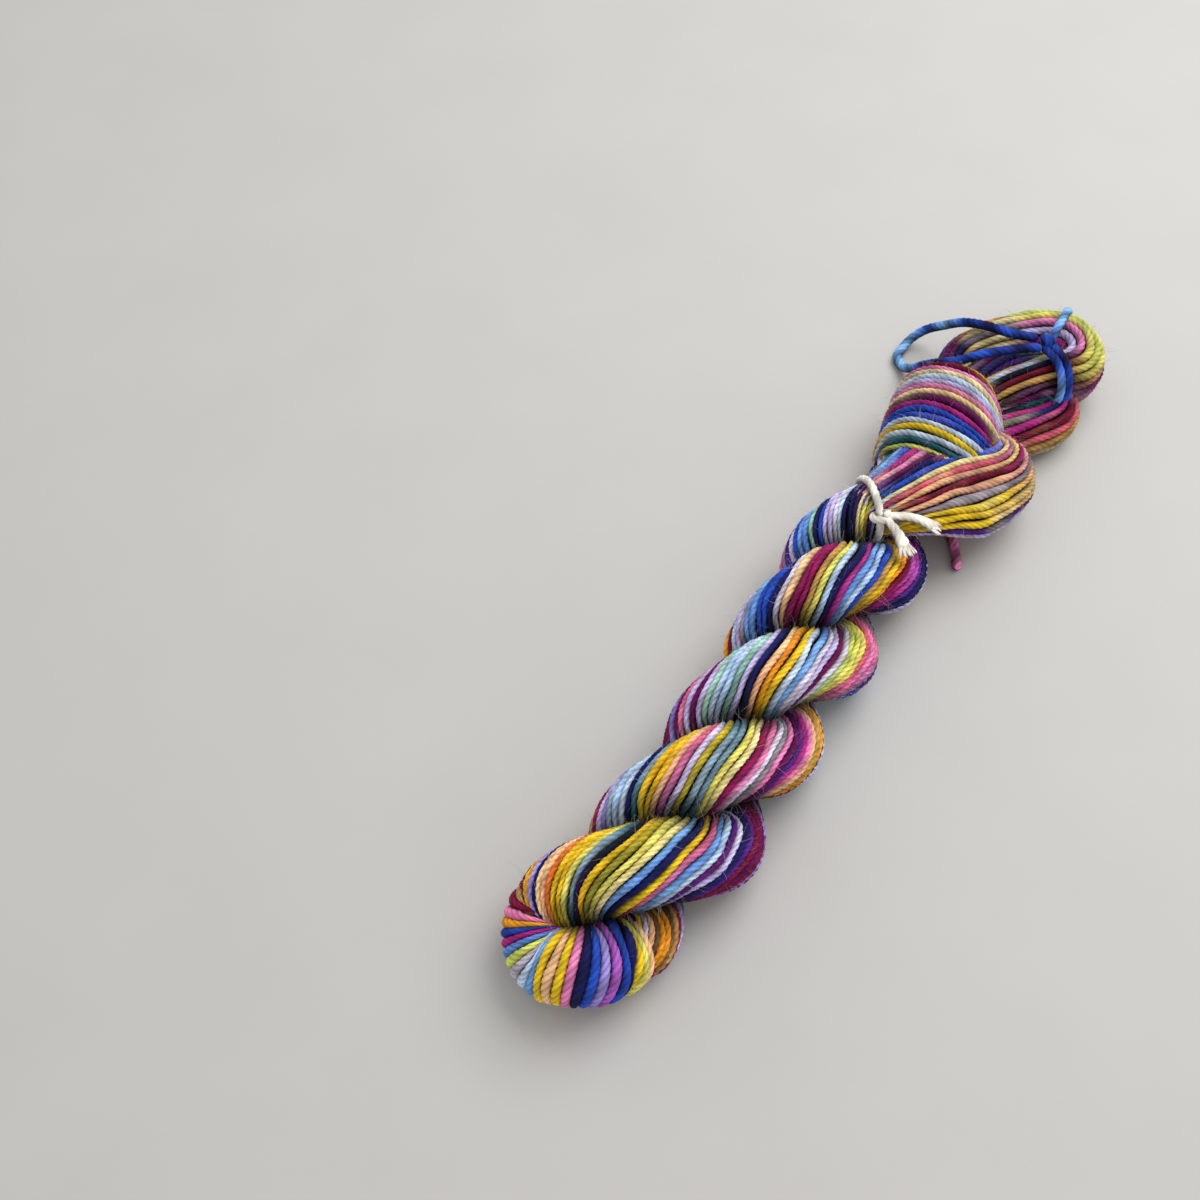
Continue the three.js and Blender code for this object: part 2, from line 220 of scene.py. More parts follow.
# %% Carry the plied section along strands
YARN_THREADS = 4
THREAD_COLUMNS = 3
GROOVE_DEPTH = 0.15
TWIST_LENGTH = 6.4 * MM
TIP_OPENING = 0.04
FLOOR_GAP = 0.05 * MM
# the least share of colour that the painted side shade leaves, and the cosines where it starts and ends
PAINTED_SIDE_SHADE = 0.14
SHADED_BELOW, LIT_ABOVE = -0.5, 0.6
THREAD_TONE = 0.2
STRAND_TONE = 0.12
TONE_WAVES = (10 * MM, 45 * MM)


def yarn(name, lines, outward, half_width, half_height, dye, material,
         twist=TWIST_LENGTH, groove_depth=GROOVE_DEPTH, thread_tone=THREAD_TONE):
    """Plied strands along lines (strands, stations, 3).

    A point is the line's own point, plus half height times the cosine of an angle outwards, plus half width
    times its sine sideways. The angle goes once round the section and grows with the distance along the
    strand. A cosine with one wave for each thread sinks the grooves, and the ends close in as half circles do.
    Nothing goes below the table. A painted shade darkens the colour on a strand's sides and on the side that
    faces the bundle, where little light gets in, and the alpha marks the grooves for the material's painted
    shade. The dye is uneven from thread to thread and along the strand."""
    strands = len(lines)
    tangent = unit(np.gradient(lines, axis=1))
    lift = unit(outward - (outward * tangent).sum(axis=-1, keepdims=True) * tangent)
    across = np.cross(tangent, lift)
    steps = np.linalg.norm(np.diff(lines, axis=1), axis=-1)
    run = np.concatenate([np.zeros((strands, 1)), np.cumsum(steps, axis=1)], axis=1)
    columns = YARN_THREADS * THREAD_COLUMNS
    column = 2 * np.pi * np.arange(columns) / columns
    groove = 0.5 + 0.5 * np.cos(YARN_THREADS * column)
    to_end = np.minimum(run, run[:, -1:] - run) / half_height
    closing = np.sqrt(1 - (1 - np.clip(to_end, TIP_OPENING, 1)) ** 2)
    start = chance.uniform(0, 2 * np.pi, (strands, 1, 1))
    angle = start + column + 2 * np.pi * run[..., None] / twist
    section = (1 - groove_depth * groove) * closing[..., None]
    points = (
        lines[:, :, None, :]
        + (half_height[..., None] * section * np.cos(angle))[..., None] * lift[:, :, None, :]
        + (half_width[..., None] * section * np.sin(angle))[..., None] * across[:, :, None, :]
    )
    points[..., 2] = np.maximum(points[..., 2], FLOOR_GAP)
    # painted shade: each strand's colour is darkened on its sides and on the side towards the bundle
    painted_side_light = np.clip((np.cos(angle) - SHADED_BELOW) / (LIT_ABOVE - SHADED_BELOW), 0, 1)[..., None]
    uneven = STRAND_TONE * slow_waves(strands, run, *TONE_WAVES)[..., None]
    tone = (1 + thread_tone * np.cos(column) + uneven)[..., None]
    colour = np.empty(points.shape[:3] + (4,))
    colour[..., :3] = dye[:, :, None, :] * (PAINTED_SIDE_SHADE + (1 - PAINTED_SIDE_SHADE) * painted_side_light) * tone
    # the alpha marks the grooves, where the material paints a shade
    colour[..., 3] = groove
    return put_mesh(name, points, colour, run, material)


print(f"a strand of {YARN_THREADS} threads, {YARN_DIAMETER / MM:.1f} mm thick")

# %% [markdown]
# ## Dyes
# A hand dyer pours and speckles many colours over one hank, so a strand changes colour every few
# centimetres, and neighbours in the twist come from different places of the loop. Random colours would give
# a rainbow without character. So the pot of dyes is a short list of named colours, and charts in words say
# later which strand shows which dye.

# %% Mix the dyes
DYES = {
    "yellow": (236, 200, 40), "gold": (230, 165, 35), "orange": (220, 112, 40), "peach": (242, 182, 140),
    "cream": (242, 226, 168), "straw": (234, 222, 112), "lime": (202, 212, 100), "mint": (160, 205, 184),
    "teal": (36, 98, 112), "ice": (196, 216, 240), "sky": (128, 178, 236), "blue": (40, 80, 192),
    "navy": (24, 26, 92), "ink": (14, 22, 40), "violet": (80, 36, 132), "plum": (98, 16, 84),
    "maroon": (108, 12, 44), "wine": (142, 22, 84), "magenta": (172, 38, 128), "orchid": (168, 92, 190),
    "pink": (228, 132, 188), "rose": (218, 96, 116), "lavender": (134, 118, 204), "lilac": (194, 182, 230),
    "pearl": (224, 218, 240), "grey": (158, 148, 160), "brown": (72, 44, 42), "tan": (192, 148, 84),
    "olive": (150, 145, 50),
}
DYE_NAMES = list(DYES)


def light_of(names):
    """The linear light of named dyes: each screen value is divided by 255, and the screen's curve is
    undone."""
    screen = np.array([DYES[name] for name in names]) / 255
    return np.where(screen <= 0.04045, screen / 12.92, ((screen + 0.055) / 1.055) ** 2.4)


def dye_along(run, names):
    """The light along one strand, blended evenly from the first of the named dyes to the last."""
    names = names.split()
    stops = np.linspace(0, run[-1], len(names))
    return np.stack([np.interp(run, stops, channel) for channel in light_of(names).T], axis=-1)[None]


print(len(DYES), "dyes in the pot")

# %% [markdown]
# ## Nodes
# A material is a small net of nodes. It can be drawn in the shader editor, but in a script every value shows,
# and alike materials come from one description. Three helpers add a node, remap values and join nodes.

# %% Add and join nodes
def new_node(tree, kind, sockets=None, **settings):
    """A node of a kind, with its settings, and with values on its sockets."""
    node = tree.nodes.new(kind)
    for setting, value in settings.items():
        setattr(node, setting, value)
    for socket, value in (sockets or {}).items():
        node.inputs[socket].default_value = value
    return node


def remap(tree, low, high, to_low, to_high):
    """A node that takes values from one range to another."""
    ends = {"From Min": low, "From Max": high, "To Min": to_low, "To Max": to_high}
    return new_node(tree, "ShaderNodeMapRange", ends)


def join_nodes(tree, joints):
    """Links, each from a node's output to another node's input."""
    for source, output, target, socket in joints:
        tree.links.new(source.outputs[output], target.inputs[socket])


# %% [markdown]
# ## The wool
# Wool scatters light softly, with a faint sheen at its edges. A picture of yarn could give the fibres, but it
# would repeat and blur. Here the colour comes from the dye on each point, which carries painted shade too. A
# noise that is stretched along the fibres lightens and darkens it and raises a small bump, and the grooves
# between the threads get a painted shade, because less light reaches them.

# %% Make the wool material
FIBRE_TURN = (0, 0, np.radians(40))
FIBRE_STRETCH = (46, 5, 1)
FIBRE_BUMP = {"Strength": 0.6, "Distance": 0.15 * MM}
SPECKLE_SCALE = 420
# lowest and highest noise, and the tones that they give
STREAK_TONES = (0.25, 0.75, 0.85, 1.35)
SPECKLE_TONES = (0.3, 0.7, 0.9, 1.15)
FIBRE_GLOSS = 0.12
SHEEN_SPREAD = 0.45


def fibre_material(name, sheen, roughness, groove_shade):
    """The dye, with its painted shade, times a streak along the fibres, times a fine speckle, times a painted
    shade in the grooves.
    """
    material = bpy.data.materials.new(name)
    material.use_nodes = True
    tree = material.node_tree
    shader = tree.nodes["Principled BSDF"]
    shader.inputs["Roughness"].default_value = roughness
    shader.inputs["Specular IOR Level"].default_value = FIBRE_GLOSS
    shader.inputs["Sheen Weight"].default_value = sheen
    shader.inputs["Sheen Roughness"].default_value = SHEEN_SPREAD
    dye = new_node(tree, "ShaderNodeAttribute", attribute_name="dye")
    strand = new_node(tree, "ShaderNodeUVMap", uv_map="yarn")
    along = new_node(tree, "ShaderNodeMapping", {"Rotation": FIBRE_TURN, "Scale": FIBRE_STRETCH})
    fibres = new_node(tree, "ShaderNodeTexNoise", {"Scale": 1.0, "Detail": 3.0}, noise_dimensions="2D")
    place = new_node(tree, "ShaderNodeTexCoord")
    speckle = new_node(tree, "ShaderNodeTexNoise", {"Scale": SPECKLE_SCALE, "Detail": 3.0})
    streak = remap(tree, *STREAK_TONES)
    spot = remap(tree, *SPECKLE_TONES)
    # painted shade in the grooves, from the alpha that yarn puts on each point
    shade = remap(tree, 0.0, 1.0, 1.0, groove_shade)
    streak_spot = new_node(tree, "ShaderNodeMath", operation="MULTIPLY")
    all_shades = new_node(tree, "ShaderNodeMath", operation="MULTIPLY")
    tinted = new_node(tree, "ShaderNodeVectorMath", operation="SCALE")
    bump = new_node(tree, "ShaderNodeBump", FIBRE_BUMP)
    join_nodes(tree, [
        (strand, "UV", along, "Vector"), (along, "Vector", fibres, "Vector"),
        (place, "Object", speckle, "Vector"), (fibres, "Fac", streak, "Value"),
        (speckle, "Fac", spot, "Value"), (dye, "Alpha", shade, "Value"),
        (streak, "Result", streak_spot, 0), (spot, "Result", streak_spot, 1),
        (streak_spot, "Value", all_shades, 0), (shade, "Result", all_shades, 1),
        (dye, "Color", tinted, 0), (all_shades, "Value", tinted, "Scale"),
        (tinted, "Vector", shader, "Base Color"),
        (fibres, "Fac", bump, "Height"), (bump, "Normal", shader, "Normal"),
    ])
    return material


wool = fibre_material("dyed wool", sheen=0.03, roughness=0.65, groove_shade=0.5)
print("material:", wool.name)

# %% [markdown]
# ## The loose loop and the loose end
# Two lengths of yarn leave the hank: the bound end makes a blue loop on the table, and a short pink end
# lies beside the rope. They could be laid by a simulation, but the photograph shows where they lie.

# %% Lay the two cords
UP = np.array([0.0, 0.0, 1.0])
CORD_DIAMETER = 2.4 * MM
CORD_TONE = 0.55
CORD_STEP = 0.5 * MM
LOOSE_LOOP = np.array([
    [87.3, 0.0, 18.5], [86.2, 2.6, 18.5], [85.1, 6.4, 18.2], [85.0, 11.8, 17.2], [85.6, 17.6, 14.4],
    [86.8, 22.6, 9.5], [86.8, 27.2, 5.0], [84.9, 29.3, 2.5], [82.2, 29.8, 1.4], [78.1, 29.4, 1.3],
    [76.0, 26.8, 1.6], [74.4, 23.8, 4.0], [73.2, 20.4, 8.4], [72.0, 16.4, 12.8], [73.0, 12.4, 15.2],
    [74.9, 9.5, 16.9], [77.2, 7.1, 17.6], [80.4, 3.7, 18.0], [83.4, 0.4, 18.2], [85.4, -2.0, 18.1],
]) * MM
LOOSE_END = np.array([
    [62, 1.5, 1.4], [59, 1.9, 1.3], [55.5, 1.8, 1.3], [51.5, 0.9, 1.3], [47, -0.6, 1.3], [43, -3.0, 1.3],
    [39, -6.6, 1.3], [36, -10.0, 1.3], [33, -12.4, 1.3], [30.1, -14.2, 1.3],
]) * MM
LOOP_DYES = "navy blue navy blue sky blue sky sky sky blue navy blue blue navy blue"
END_DYES = "plum magenta magenta pink pink"


def loose_yarn(name, route, dyes, node):
    """One round strand along a route, its dye blended from the first named dye to the last."""
    path, run = smooth_rows(route, CORD_STEP)
    lines = path[None]
    half = np.full(lines.shape[:2], CORD_DIAMETER / 2)
    piece = yarn(name, lines, np.broadcast_to(UP, lines.shape), half, half, dye_along(run, dyes), wool,
                 thread_tone=CORD_TONE)
    stand_for(node)
    print(f"{name}: {run[-1] / MM:.0f} mm long")


loose_yarn("blue_loop_yarn", LOOSE_LOOP, LOOP_DYES, "loose_loop")
loose_yarn("pink_end_yarn", LOOSE_END, END_DYES, "loose_end")

# %% [markdown]
# ## Directions on a bundle
# A strand on a bundle has to know which way is outward. A frame that is only carried along the path could end
# up anywhere. Taken from straight up, it starts every bundle's angles at the top, so that a chart can name
# what shows there.

# %% Point outward from a bundle
def bundle_frame(centre, across=None):
    """Outward and sideways directions along a bundle.

    Outward is up, with its part along the path taken away. Where a bundle climbs, the given direction
    across it is used instead, and outward is square to both."""
    forward = unit(np.gradient(centre, axis=0))
    if across is None:
        outward = unit(UP - (forward @ UP)[:, None] * forward)
        return outward, np.cross(forward, outward)
    sideways = unit(across - (forward @ across)[:, None] * forward)
    return np.cross(sideways, forward), sideways


level_out, level_side = bundle_frame(np.array([[0.0, 0, 0], [1, 0, 0], [2, 0, 0]]))
print("on a level path along x, outward is", level_out[0], "and sideways is", level_side[0])

# %% [markdown]
# ## Winding strands on a bundle
# A ply is a bundle of strands that lie side by side on its skin and lean to one side, so they wind round
# it as it goes along. Each could be drawn by hand, but there are many. So a bundle is a table of places,
# sizes and leans, its strands share one formula, and each starts a little further round.

# %% Wind strands round a bundle
SETTLE = 0.7 * MM
REST_HEIGHT = 0.45 * YARN_DIAMETER
REST_SOFTNESS = 0.3 * MM
SWAY_WAVES = (14 * MM, 40 * MM)
RISE_WAVES = (9 * MM, 30 * MM)


def wind(rows, strands, spacing, wander, across=None, sink=None, square=1.0):
    """Strands on a bundle: rows hold x, y, z, half width and half height in mm, and the lean in degrees.

    A strand's angle round the bundle starts at its share of a full turn. It changes along the path by
    the tangent of the lean over the radius, less what the frame itself turns. The section is an ellipse,
    and the angle is eased by the sine of twice itself, so that strands stay evenly apart round a flat
    one. A power below one on the sine and cosine makes the section squarer. The strand lies half its
    thickness inside, with slow waves in its angle and height, and a soft maximum keeps it on the table."""
    path, run = smooth_rows(rows * np.array([MM] * 5 + [1.0] * (rows.shape[1] - 5)), spacing)
    centre, wide, high, lean = path[:, :3] - SETTLE * UP, path[:, 3], path[:, 4], np.radians(path[:, 5])
    up, side = bundle_frame(centre, across)
    frame_turn = (np.gradient(up, axis=0) * side).sum(axis=1)
    radius = (wide + high) / 2 - YARN_DIAMETER / 2
    turn = np.cumsum(-np.tan(lean) / radius * np.gradient(run) - frame_turn)
    angle = 2 * np.pi * np.arange(strands)[:, None] / strands + turn
    every_run = np.broadcast_to(run, angle.shape)
    swayed = angle + wander * YARN_DIAMETER / radius * slow_waves(strands, every_run, *SWAY_WAVES)
    eased = swayed - (wide - high) / (wide + high) * np.sin(2 * swayed) / 2
    rise = 0.5 * wander * YARN_DIAMETER * slow_waves(strands, every_run, *RISE_WAVES)
    inset = 0.5 * YARN_DIAMETER - rise
    if sink is not None:
        inset = inset + np.interp(path[:, 6], *sink) * MM
    cosine, sine = np.cos(eased), np.sin(eased)
    upward = np.sign(cosine) * np.abs(cosine) ** square
    aside = np.sign(sine) * np.abs(sine) ** square
    lines = (
        centre
        + (upward * (high - inset))[..., None] * up
        + (aside * (wide - inset))[..., None] * side
    )
    above = (lines[..., 2] - REST_HEIGHT) / REST_SOFTNESS
    lines[..., 2] = REST_HEIGHT + REST_SOFTNESS * np.logaddexp(0, above)
    outward = unit((cosine / high)[..., None] * up + (sine / wide)[..., None] * side)
    return {"lines": lines, "outward": outward, "angle": angle, "run": run, "path": path, "centre": centre}


print(f"the lowest strands rest {REST_HEIGHT / MM:.2f} mm above the table")

# %% [markdown]
# ## How thick a strand is
# Soft strands that lie side by side press each other flat, and swell where there is room. One thickness for
# all would leave gaps on the outside of a bend and overlaps inside it. So a strand's width is measured from
# its neighbours, and its height makes up for it.

# %% Fit strands to their neighbours
WIDTH_SHARE = 0.53
HALF_WIDTHS = (0.55 * MM, 1.3 * MM)
HALF_HEIGHTS = (0.85 * MM, 1.25 * MM)
SWELL = 0.14
SWELL_WAVES = (8 * MM, 30 * MM)


def strand_sizes(lines):
    """Half widths from the room between each strand's two neighbours, square to the strand, and half
    heights that keep the strand's section about the same where it is squeezed."""
    tangent = unit(np.gradient(lines, axis=1))
    gap = (np.roll(lines, -1, axis=0) - np.roll(lines, 1, axis=0)) / 2
    gap = np.linalg.norm(gap - (gap * tangent).sum(axis=-1, keepdims=True) * tangent, axis=-1)
    half_width = np.clip(WIDTH_SHARE * gap, *HALF_WIDTHS)
    half_height = np.clip((YARN_DIAMETER / 2) ** 2 / half_width, *HALF_HEIGHTS)
    run = np.arange(lines.shape[1]) * np.linalg.norm(np.diff(lines[:, :2], axis=1), axis=-1)
    swell = 1 + SWELL * slow_waves(len(lines), run, *SWELL_WAVES)
    return half_width * swell, half_height * swell


print(f"strands are {2 * HALF_WIDTHS[0] / MM:.1f} to {2 * HALF_WIDTHS[1] / MM:.1f} mm wide before they swell")

# %% [markdown]
# ## The two plies of the rope
# Two plies wind round each other, and each is on top once in every full turn. A plain spiral would make them
# stiff and regular, like a cable. So a table gives the rope's middle and spread at whole half turns, and a
# cosine and sine of the turns move each ply round that middle.

# %% Place a ply in the rope
HALF_TURN = 24.9
FIRST_CROSSING = -75.5
CREST_LEAD = 0.25
PLY_DIVE = 0.12
# turns, middle y, middle z, spread y, spread z, ply radius, slant
ROPE = np.array([
    [-0.8, 0.6, 8.6, 7.2, 5.0, 7.8, 0.0],
    [-0.45, -0.6, 10.2, 7.4, 5.4, 7.9, 0.1],
    [0, -3.6, 12.6, 8.0, 5.8, 8.0, 0.45],
    [1, -3.4, 13.2, 7.9, 6.0, 7.9, 0.5],
    [2, -1.1, 13.4, 7.0, 6.0, 7.7, 0.5],
    [3, 1.4, 13.6, 7.8, 6.0, 7.7, 0.5],
    [4, 3.4, 13.6, 7.2, 6.2, 7.4, 0.4],
    [5, 3.0, 13.6, 7.0, 6.2, 7.4, 0.2],
])
# place along the path, lean of the strands in degrees
LEAN = np.array([
    [-6.5, 30], [-6, 33], [-5, 40], [-4, 42], [-3, 40], [-2, 44], [-1.42, 56], [-1, 66],
    [-0.6, 66], [-0.35, 52], [0, 36], [0.4, 38], [1, 42], [2, 36], [3, 40], [3.5, 46], [3.8, 46],
])


def ply_rows(x, turns, turned, share, place):
    """Rows of one ply: the rope's middle plus its share of the spread, by the cosine and sine of the
    half turns made. The slant lets the ply cross the top along the rope and hurry round its sides, and
    the lead lets it be highest before it is over the middle. The last column is the place on the path."""
    y, z, spread_y, spread_z, radius, slant = (
        np.interp(turns, ROPE[:, 0], column) for column in ROPE[:, 1:].T
    )
    phase = np.pi * (0.5 + turned)
    aside = share * np.sin(np.pi * turned)
    return np.stack([
        x, y + share * spread_y * np.cos(phase - slant * aside),
        z + share * spread_z * np.sin(phase + CREST_LEAD + PLY_DIVE * aside),
        radius, radius, np.interp(place, *LEAN.T), place,
    ], axis=1)


def twist_rows(turns, share, place):
    """Rows of a ply in the twist, where x is the first crossing plus a length for each half turn."""
    return ply_rows(FIRST_CROSSING + HALF_TURN * turns, turns, turns, share, place)


print(f"a full turn of the rope is {2 * HALF_TURN:.1f} mm long")

# %% [markdown]
# ## The rope's path
# The hank runs down as one ply, turns round in the fold, and comes back up as the other. Two separate plies
# would not join at the fold. So one path follows all of it, from under the band, down, round the fold and up
# to the tie. In the fold a half circle leads from one ply's place to the other's.

# %% Follow the rope's path
FOLD_NOSE = -96.5
FOLD_SHOULDER = -0.58
FOLD_TWIST = 0.12
FOLD_DROP = 0.22
FOLD_SPAN = 0.42
FOLD_ROWS = 9
TURN_STEP = 0.25
DOWN_FROM, UP_TO = 4.0, 3.51
down_turns = np.arange(DOWN_FROM, FOLD_SHOULDER, -TURN_STEP)
up_turns = np.arange(FOLD_SHOULDER + TURN_STEP, UP_TO, TURN_STEP)
bend = np.linspace(-np.pi / 2, np.pi / 2, FOLD_ROWS)
shoulder = FIRST_CROSSING + HALF_TURN * FOLD_SHOULDER
fold_rows = ply_rows(
    shoulder - (shoulder - FOLD_NOSE) * np.cos(bend),
    FOLD_SHOULDER - FOLD_DROP * (1 - np.abs(np.sin(bend))),
    FOLD_SHOULDER - FOLD_TWIST * np.cos(bend),
    np.sin(bend),
    -1 + FOLD_SPAN * bend / (np.pi / 2),
)
# x, y, z, half width, half height, lean in degrees, place along the path
under_band = np.array([[46, 7.5, 8.6, 7.0, 7.0, 28, -6.6], [38.5, 6.5, 8.5, 7.4, 7.4, 30, -6.4]])
to_tie = np.array([[19.6, 5.6, 19.3, 5.9, 5.9, 50, 3.75], [23.5, 2.4, 19.0, 4.6, 4.6, 40, 3.9]])
rope_rows = np.vstack([
    under_band, twist_rows(down_turns, -1, -2 - down_turns), fold_rows,
    twist_rows(up_turns, 1, up_turns), to_tie,
])
print(f"the rope's path has {len(rope_rows)} rows")

# %% [markdown]
# ## The turns of the rope
# About 26 strands fit side by side round a ply, as on the real hank. Its inner strands never show, so only
# the skin is wound. In the fold the strands sink a little, to make room for the steep turns that cover
# them there.

# %% Wind the rope
ROPE_STRANDS = 26
ROPE_WANDER = 0.17
STATION_STEP = 0.5 * MM
# places along the path, and how far the strands sink there in mm
FOLD_SINK = ([-1.66, -1.5, -0.7, -0.48], [0.0, 1.8, 1.8, 0.0])
rope = wind(rope_rows, ROPE_STRANDS, STATION_STEP, ROPE_WANDER, sink=FOLD_SINK)
strand_length = np.linalg.norm(np.diff(rope["lines"][0], axis=0), axis=1).sum()
print(f"rope path {rope['run'][-1] / MM:.0f} mm, a strand {strand_length / MM:.0f} mm")

# %% [markdown]
# ## The colours of the rope
# A strand shows where it crosses the top of a ply, and hides under it after that. One long list of colours
# for each strand would be hard to read, so each crossing gets one dye, and the strand blends into its next
# dye on the hidden side. The charts name the dyes of the crossings on each lobe, in order along the path,
# and crossings that no chart reaches take dyes by chance.

# %% Chart the dyes of the lobes
# number of the first crossing, then the dyes of it and of those after it
LOBES = [
    (6, "lilac lilac navy navy violet magenta magenta maroon gold yellow tan blue ice sky magenta navy ice "
        "straw tan wine wine peach pearl navy blue blue sky sky grey lilac ice maroon"),
    (38, "gold tan peach pink magenta violet plum pink grey pearl pink wine cream straw teal teal olive "
         "lilac rose peach yellow yellow teal navy ice ice teal lavender lilac wine tan"),
    (69, "brown gold gold brown peach pearl yellow navy blue violet plum magenta lavender blue navy pink "
         "gold mint sky ice ice gold navy blue orange pink plum maroon"),
    (97, "maroon brown tan gold tan tan maroon maroon maroon yellow gold lavender navy peach peach orange "
         "yellow yellow straw teal ink yellow olive straw cream sky navy yellow rose sky ice violet lilac "
         "navy violet maroon plum maroon"),
    (135, "lavender plum pink lilac plum lilac mint ice ice mint lilac navy peach gold yellow ice sky "
          "pearl lilac plum pearl lime straw straw rose pink rose grey"),
    (163, "violet lilac blue sky sky mint navy blue lilac lilac pearl ice navy navy ink cream straw olive"),
]


def by_chance(count):
    """Numbers of dyes in the pot, drawn by chance."""
    return chance.integers(0, len(DYE_NAMES), count)


def charted(names):
    """Numbers of dyes in the pot, in the order of a chart."""
    return np.array([DYE_NAMES.index(name) for name in names.split()])


print("crossings with a dye of their own:", sum(len(charted(names)) for _, names in LOBES))

# %% [markdown]
# ## Dyeing the rope
# The dye is worked out for every point from the number of its crossing. A hard change from dye to dye would
# look painted, because real dye creeps along the wool. So each dye drifts a little towards its neighbour in
# the pot, and blends into the next one where the strand is hidden.

# %% Dye the rope
LEAST_DRIFT = 0.16
DRIFT = 0.5
DRIFT_WAVES = (12 * MM, 40 * MM)
BLEND_PART = 0.14


def rope_dyes(wound, charts):
    """Each point's dye. A crossing's number is the strand's own number, plus the number of strands for
    each turn made before, so numbers rise along the path. The charts name the dyes by number. Along the
    strand the dye drifts by slow waves towards the next one in the pot, and near the foot of the turn it
    blends evenly into the dye of the strand's next crossing."""
    turns = wound["angle"] / (2 * np.pi)
    strands = len(turns)
    lap = np.floor(turns + 0.5).astype(int)
    within = turns + 0.5 - lap
    number = np.arange(strands)[:, None] - strands * lap
    first = number.min() - strands
    chosen = by_chance(number.max() + strands + 1 - first)
    for start, names in charts:
        chart = charted(names)
        chosen[start - first:start - first + len(chart)] = chart
    pot = light_of(DYE_NAMES)
    every_run = np.broadcast_to(wound["run"], turns.shape)
    waves = slow_waves(strands, every_run, *DRIFT_WAVES)
    drift = np.clip(LEAST_DRIFT + DRIFT * waves, 0, 1)[..., None]
    here, after, before = (chosen[number - first + step] for step in (0, strands, -strands))
    light = (1 - drift) * pot[here] + drift * pot[(here + 1) % len(pot)]
    low = 0.5 * np.clip(1 - within / BLEND_PART, 0, 1)[..., None]
    high = 0.5 * np.clip(1 - (1 - within) / BLEND_PART, 0, 1)[..., None]
    return light * (1 - low - high) + pot[after] * low + pot[before] * high


rope_dye_and_painted_light = rope_dyes(rope, LOBES)
print("dyed points on the rope:", rope_dye_and_painted_light.shape[0] * rope_dye_and_painted_light.shape[1])

# %% [markdown]
# ## The creases between the plies
# Little light gets into the creases where one ply dives under the other, and the fibres there hide each other,
# so the strands look almost black. The lights alone leave them too pale, because a mesh has no fibres. So the
# distance to the other ply is measured at every point, and it sets a painted shade that darkens the colour
# near the creases and a painted light that brightens it on the crests.

# %% Paint shade into the creases and light onto the crests
CREASE_REACH = 7 * MM
CREASE_LIGHT = 0.15
CREST_LIGHT = 1.3
OTHER_PLY = 0.8
EVERY_FOURTH = slice(None, None, 4)


def crease_light(wound):
    """The share of light that the colour keeps, as painted shade and painted light: from a point, the least
    distance to the rope's path, less the ply's radius, over the part of the path that is at least 0.8 half
    turns away. It rises smoothly from the painted shade in the crease to the painted light on the crest,
    brighter than the dye, at the reach."""
    path = rope["path"][EVERY_FOURTH]
    away = np.abs(wound["path"][:, None, 6] - path[None, :, 6]) > OTHER_PLY
    gap = np.linalg.norm(wound["lines"][:, :, None] - path[:, :3], axis=-1) - path[:, 3]
    share = np.clip(np.where(away, gap, 1.0).min(axis=-1) / CREASE_REACH, 0, 1)
    return (CREASE_LIGHT + (CREST_LIGHT - CREASE_LIGHT) * share * share * (3 - 2 * share))[..., None]


rope_light = crease_light(rope)
# painted shade in the creases and painted light on the crests go into the rope's colour
rope_dye_and_painted_light = rope_dye_and_painted_light * rope_light
print(f"light left on the rope: {rope_light.mean():.2f} on average")

# %% [markdown]
# ## The rope in three pieces
# All the rope's strands in one mesh would have more triangles than a piece may have. So neighbouring
# strands go into three smaller meshes, which look like one because they lie side by side.

# %% Put the rope's turns in place
ROPE_PIECES = {"rope_turns_a": slice(0, 9), "rope_turns_b": slice(9, 18), "rope_turns_c": slice(18, 26)}
half_width, half_height = strand_sizes(rope["lines"])
for name, part in ROPE_PIECES.items():
    rope_piece = yarn(name, rope["lines"][part], rope["outward"][part],
                      half_width[part], half_height[part], rope_dye_and_painted_light[part], wool)
    stand_for("skein")

# %% [markdown]
# ## The fold
# Where the hank turns round, the twist gathers, and the strands lie almost square to the bundle, so that
# they spread like rays from the pinch between the plies. The rope's own strands could lean that far, but
# they would crowd in the pinch. So six strands of their own wind steeply round the fold's path.

# %% Wind the fold
FOLD_STRANDS = 6
FOLD_STEP = 0.1 * MM
FOLD_WANDER = 0.1
FOLD_DYES = [
    (2, "peach straw yellow navy blue orchid lavender blue navy pink yellow peach yellow sky ice pearl "
        "lime sky magenta blue gold pink maroon tan"),
]
FOLD_FROM, FOLD_TO = -1.8, -0.3
# places along the path, and the lean of the strands there in degrees
FOLD_LEAN = ([-1.8, -1.5, -1.0, -0.6, -0.33], [66, 80, 82.5, 80, 58])
# places along the path, and what is added to the half sizes there in mm
FOLD_THICKER = ([-1.8, -1.5, -0.6, -0.33], [-2.0, 0.0, 0.0, -2.2])
TURN_WIDTH_SHARE = 0.54
TURN_HALF_WIDTHS = (0.25 * MM, 1.15 * MM)
TURN_HEIGHT_SHARE = 1.15
TURN_HALF_HEIGHTS = (0.5 * MM, 1.1 * MM)


def turn_sizes(wound, strands):
    """Half sizes of strands that wind steeply. The room for a strand is the girth over the tangent of the
    lean, shared among the strands. A bend in the path widens it outside and narrows it inside: it is
    multiplied by one, less the way from the path times the path's bending."""
    path, offset = wound["path"], wound["lines"] - wound["centre"]
    forward = unit(np.gradient(wound["centre"], axis=0))
    bending = np.gradient(forward, axis=0) / np.gradient(wound["run"])[:, None]
    girth = np.pi * (path[:, 3] + path[:, 4] - YARN_DIAMETER)
    room = girth / np.tan(np.radians(path[:, 5])) / strands * (1 - (offset * bending).sum(axis=-1))
    half_width = np.clip(TURN_WIDTH_SHARE * room, *TURN_HALF_WIDTHS)
    return half_width, np.clip(TURN_HEIGHT_SHARE * half_width, *TURN_HALF_HEIGHTS)


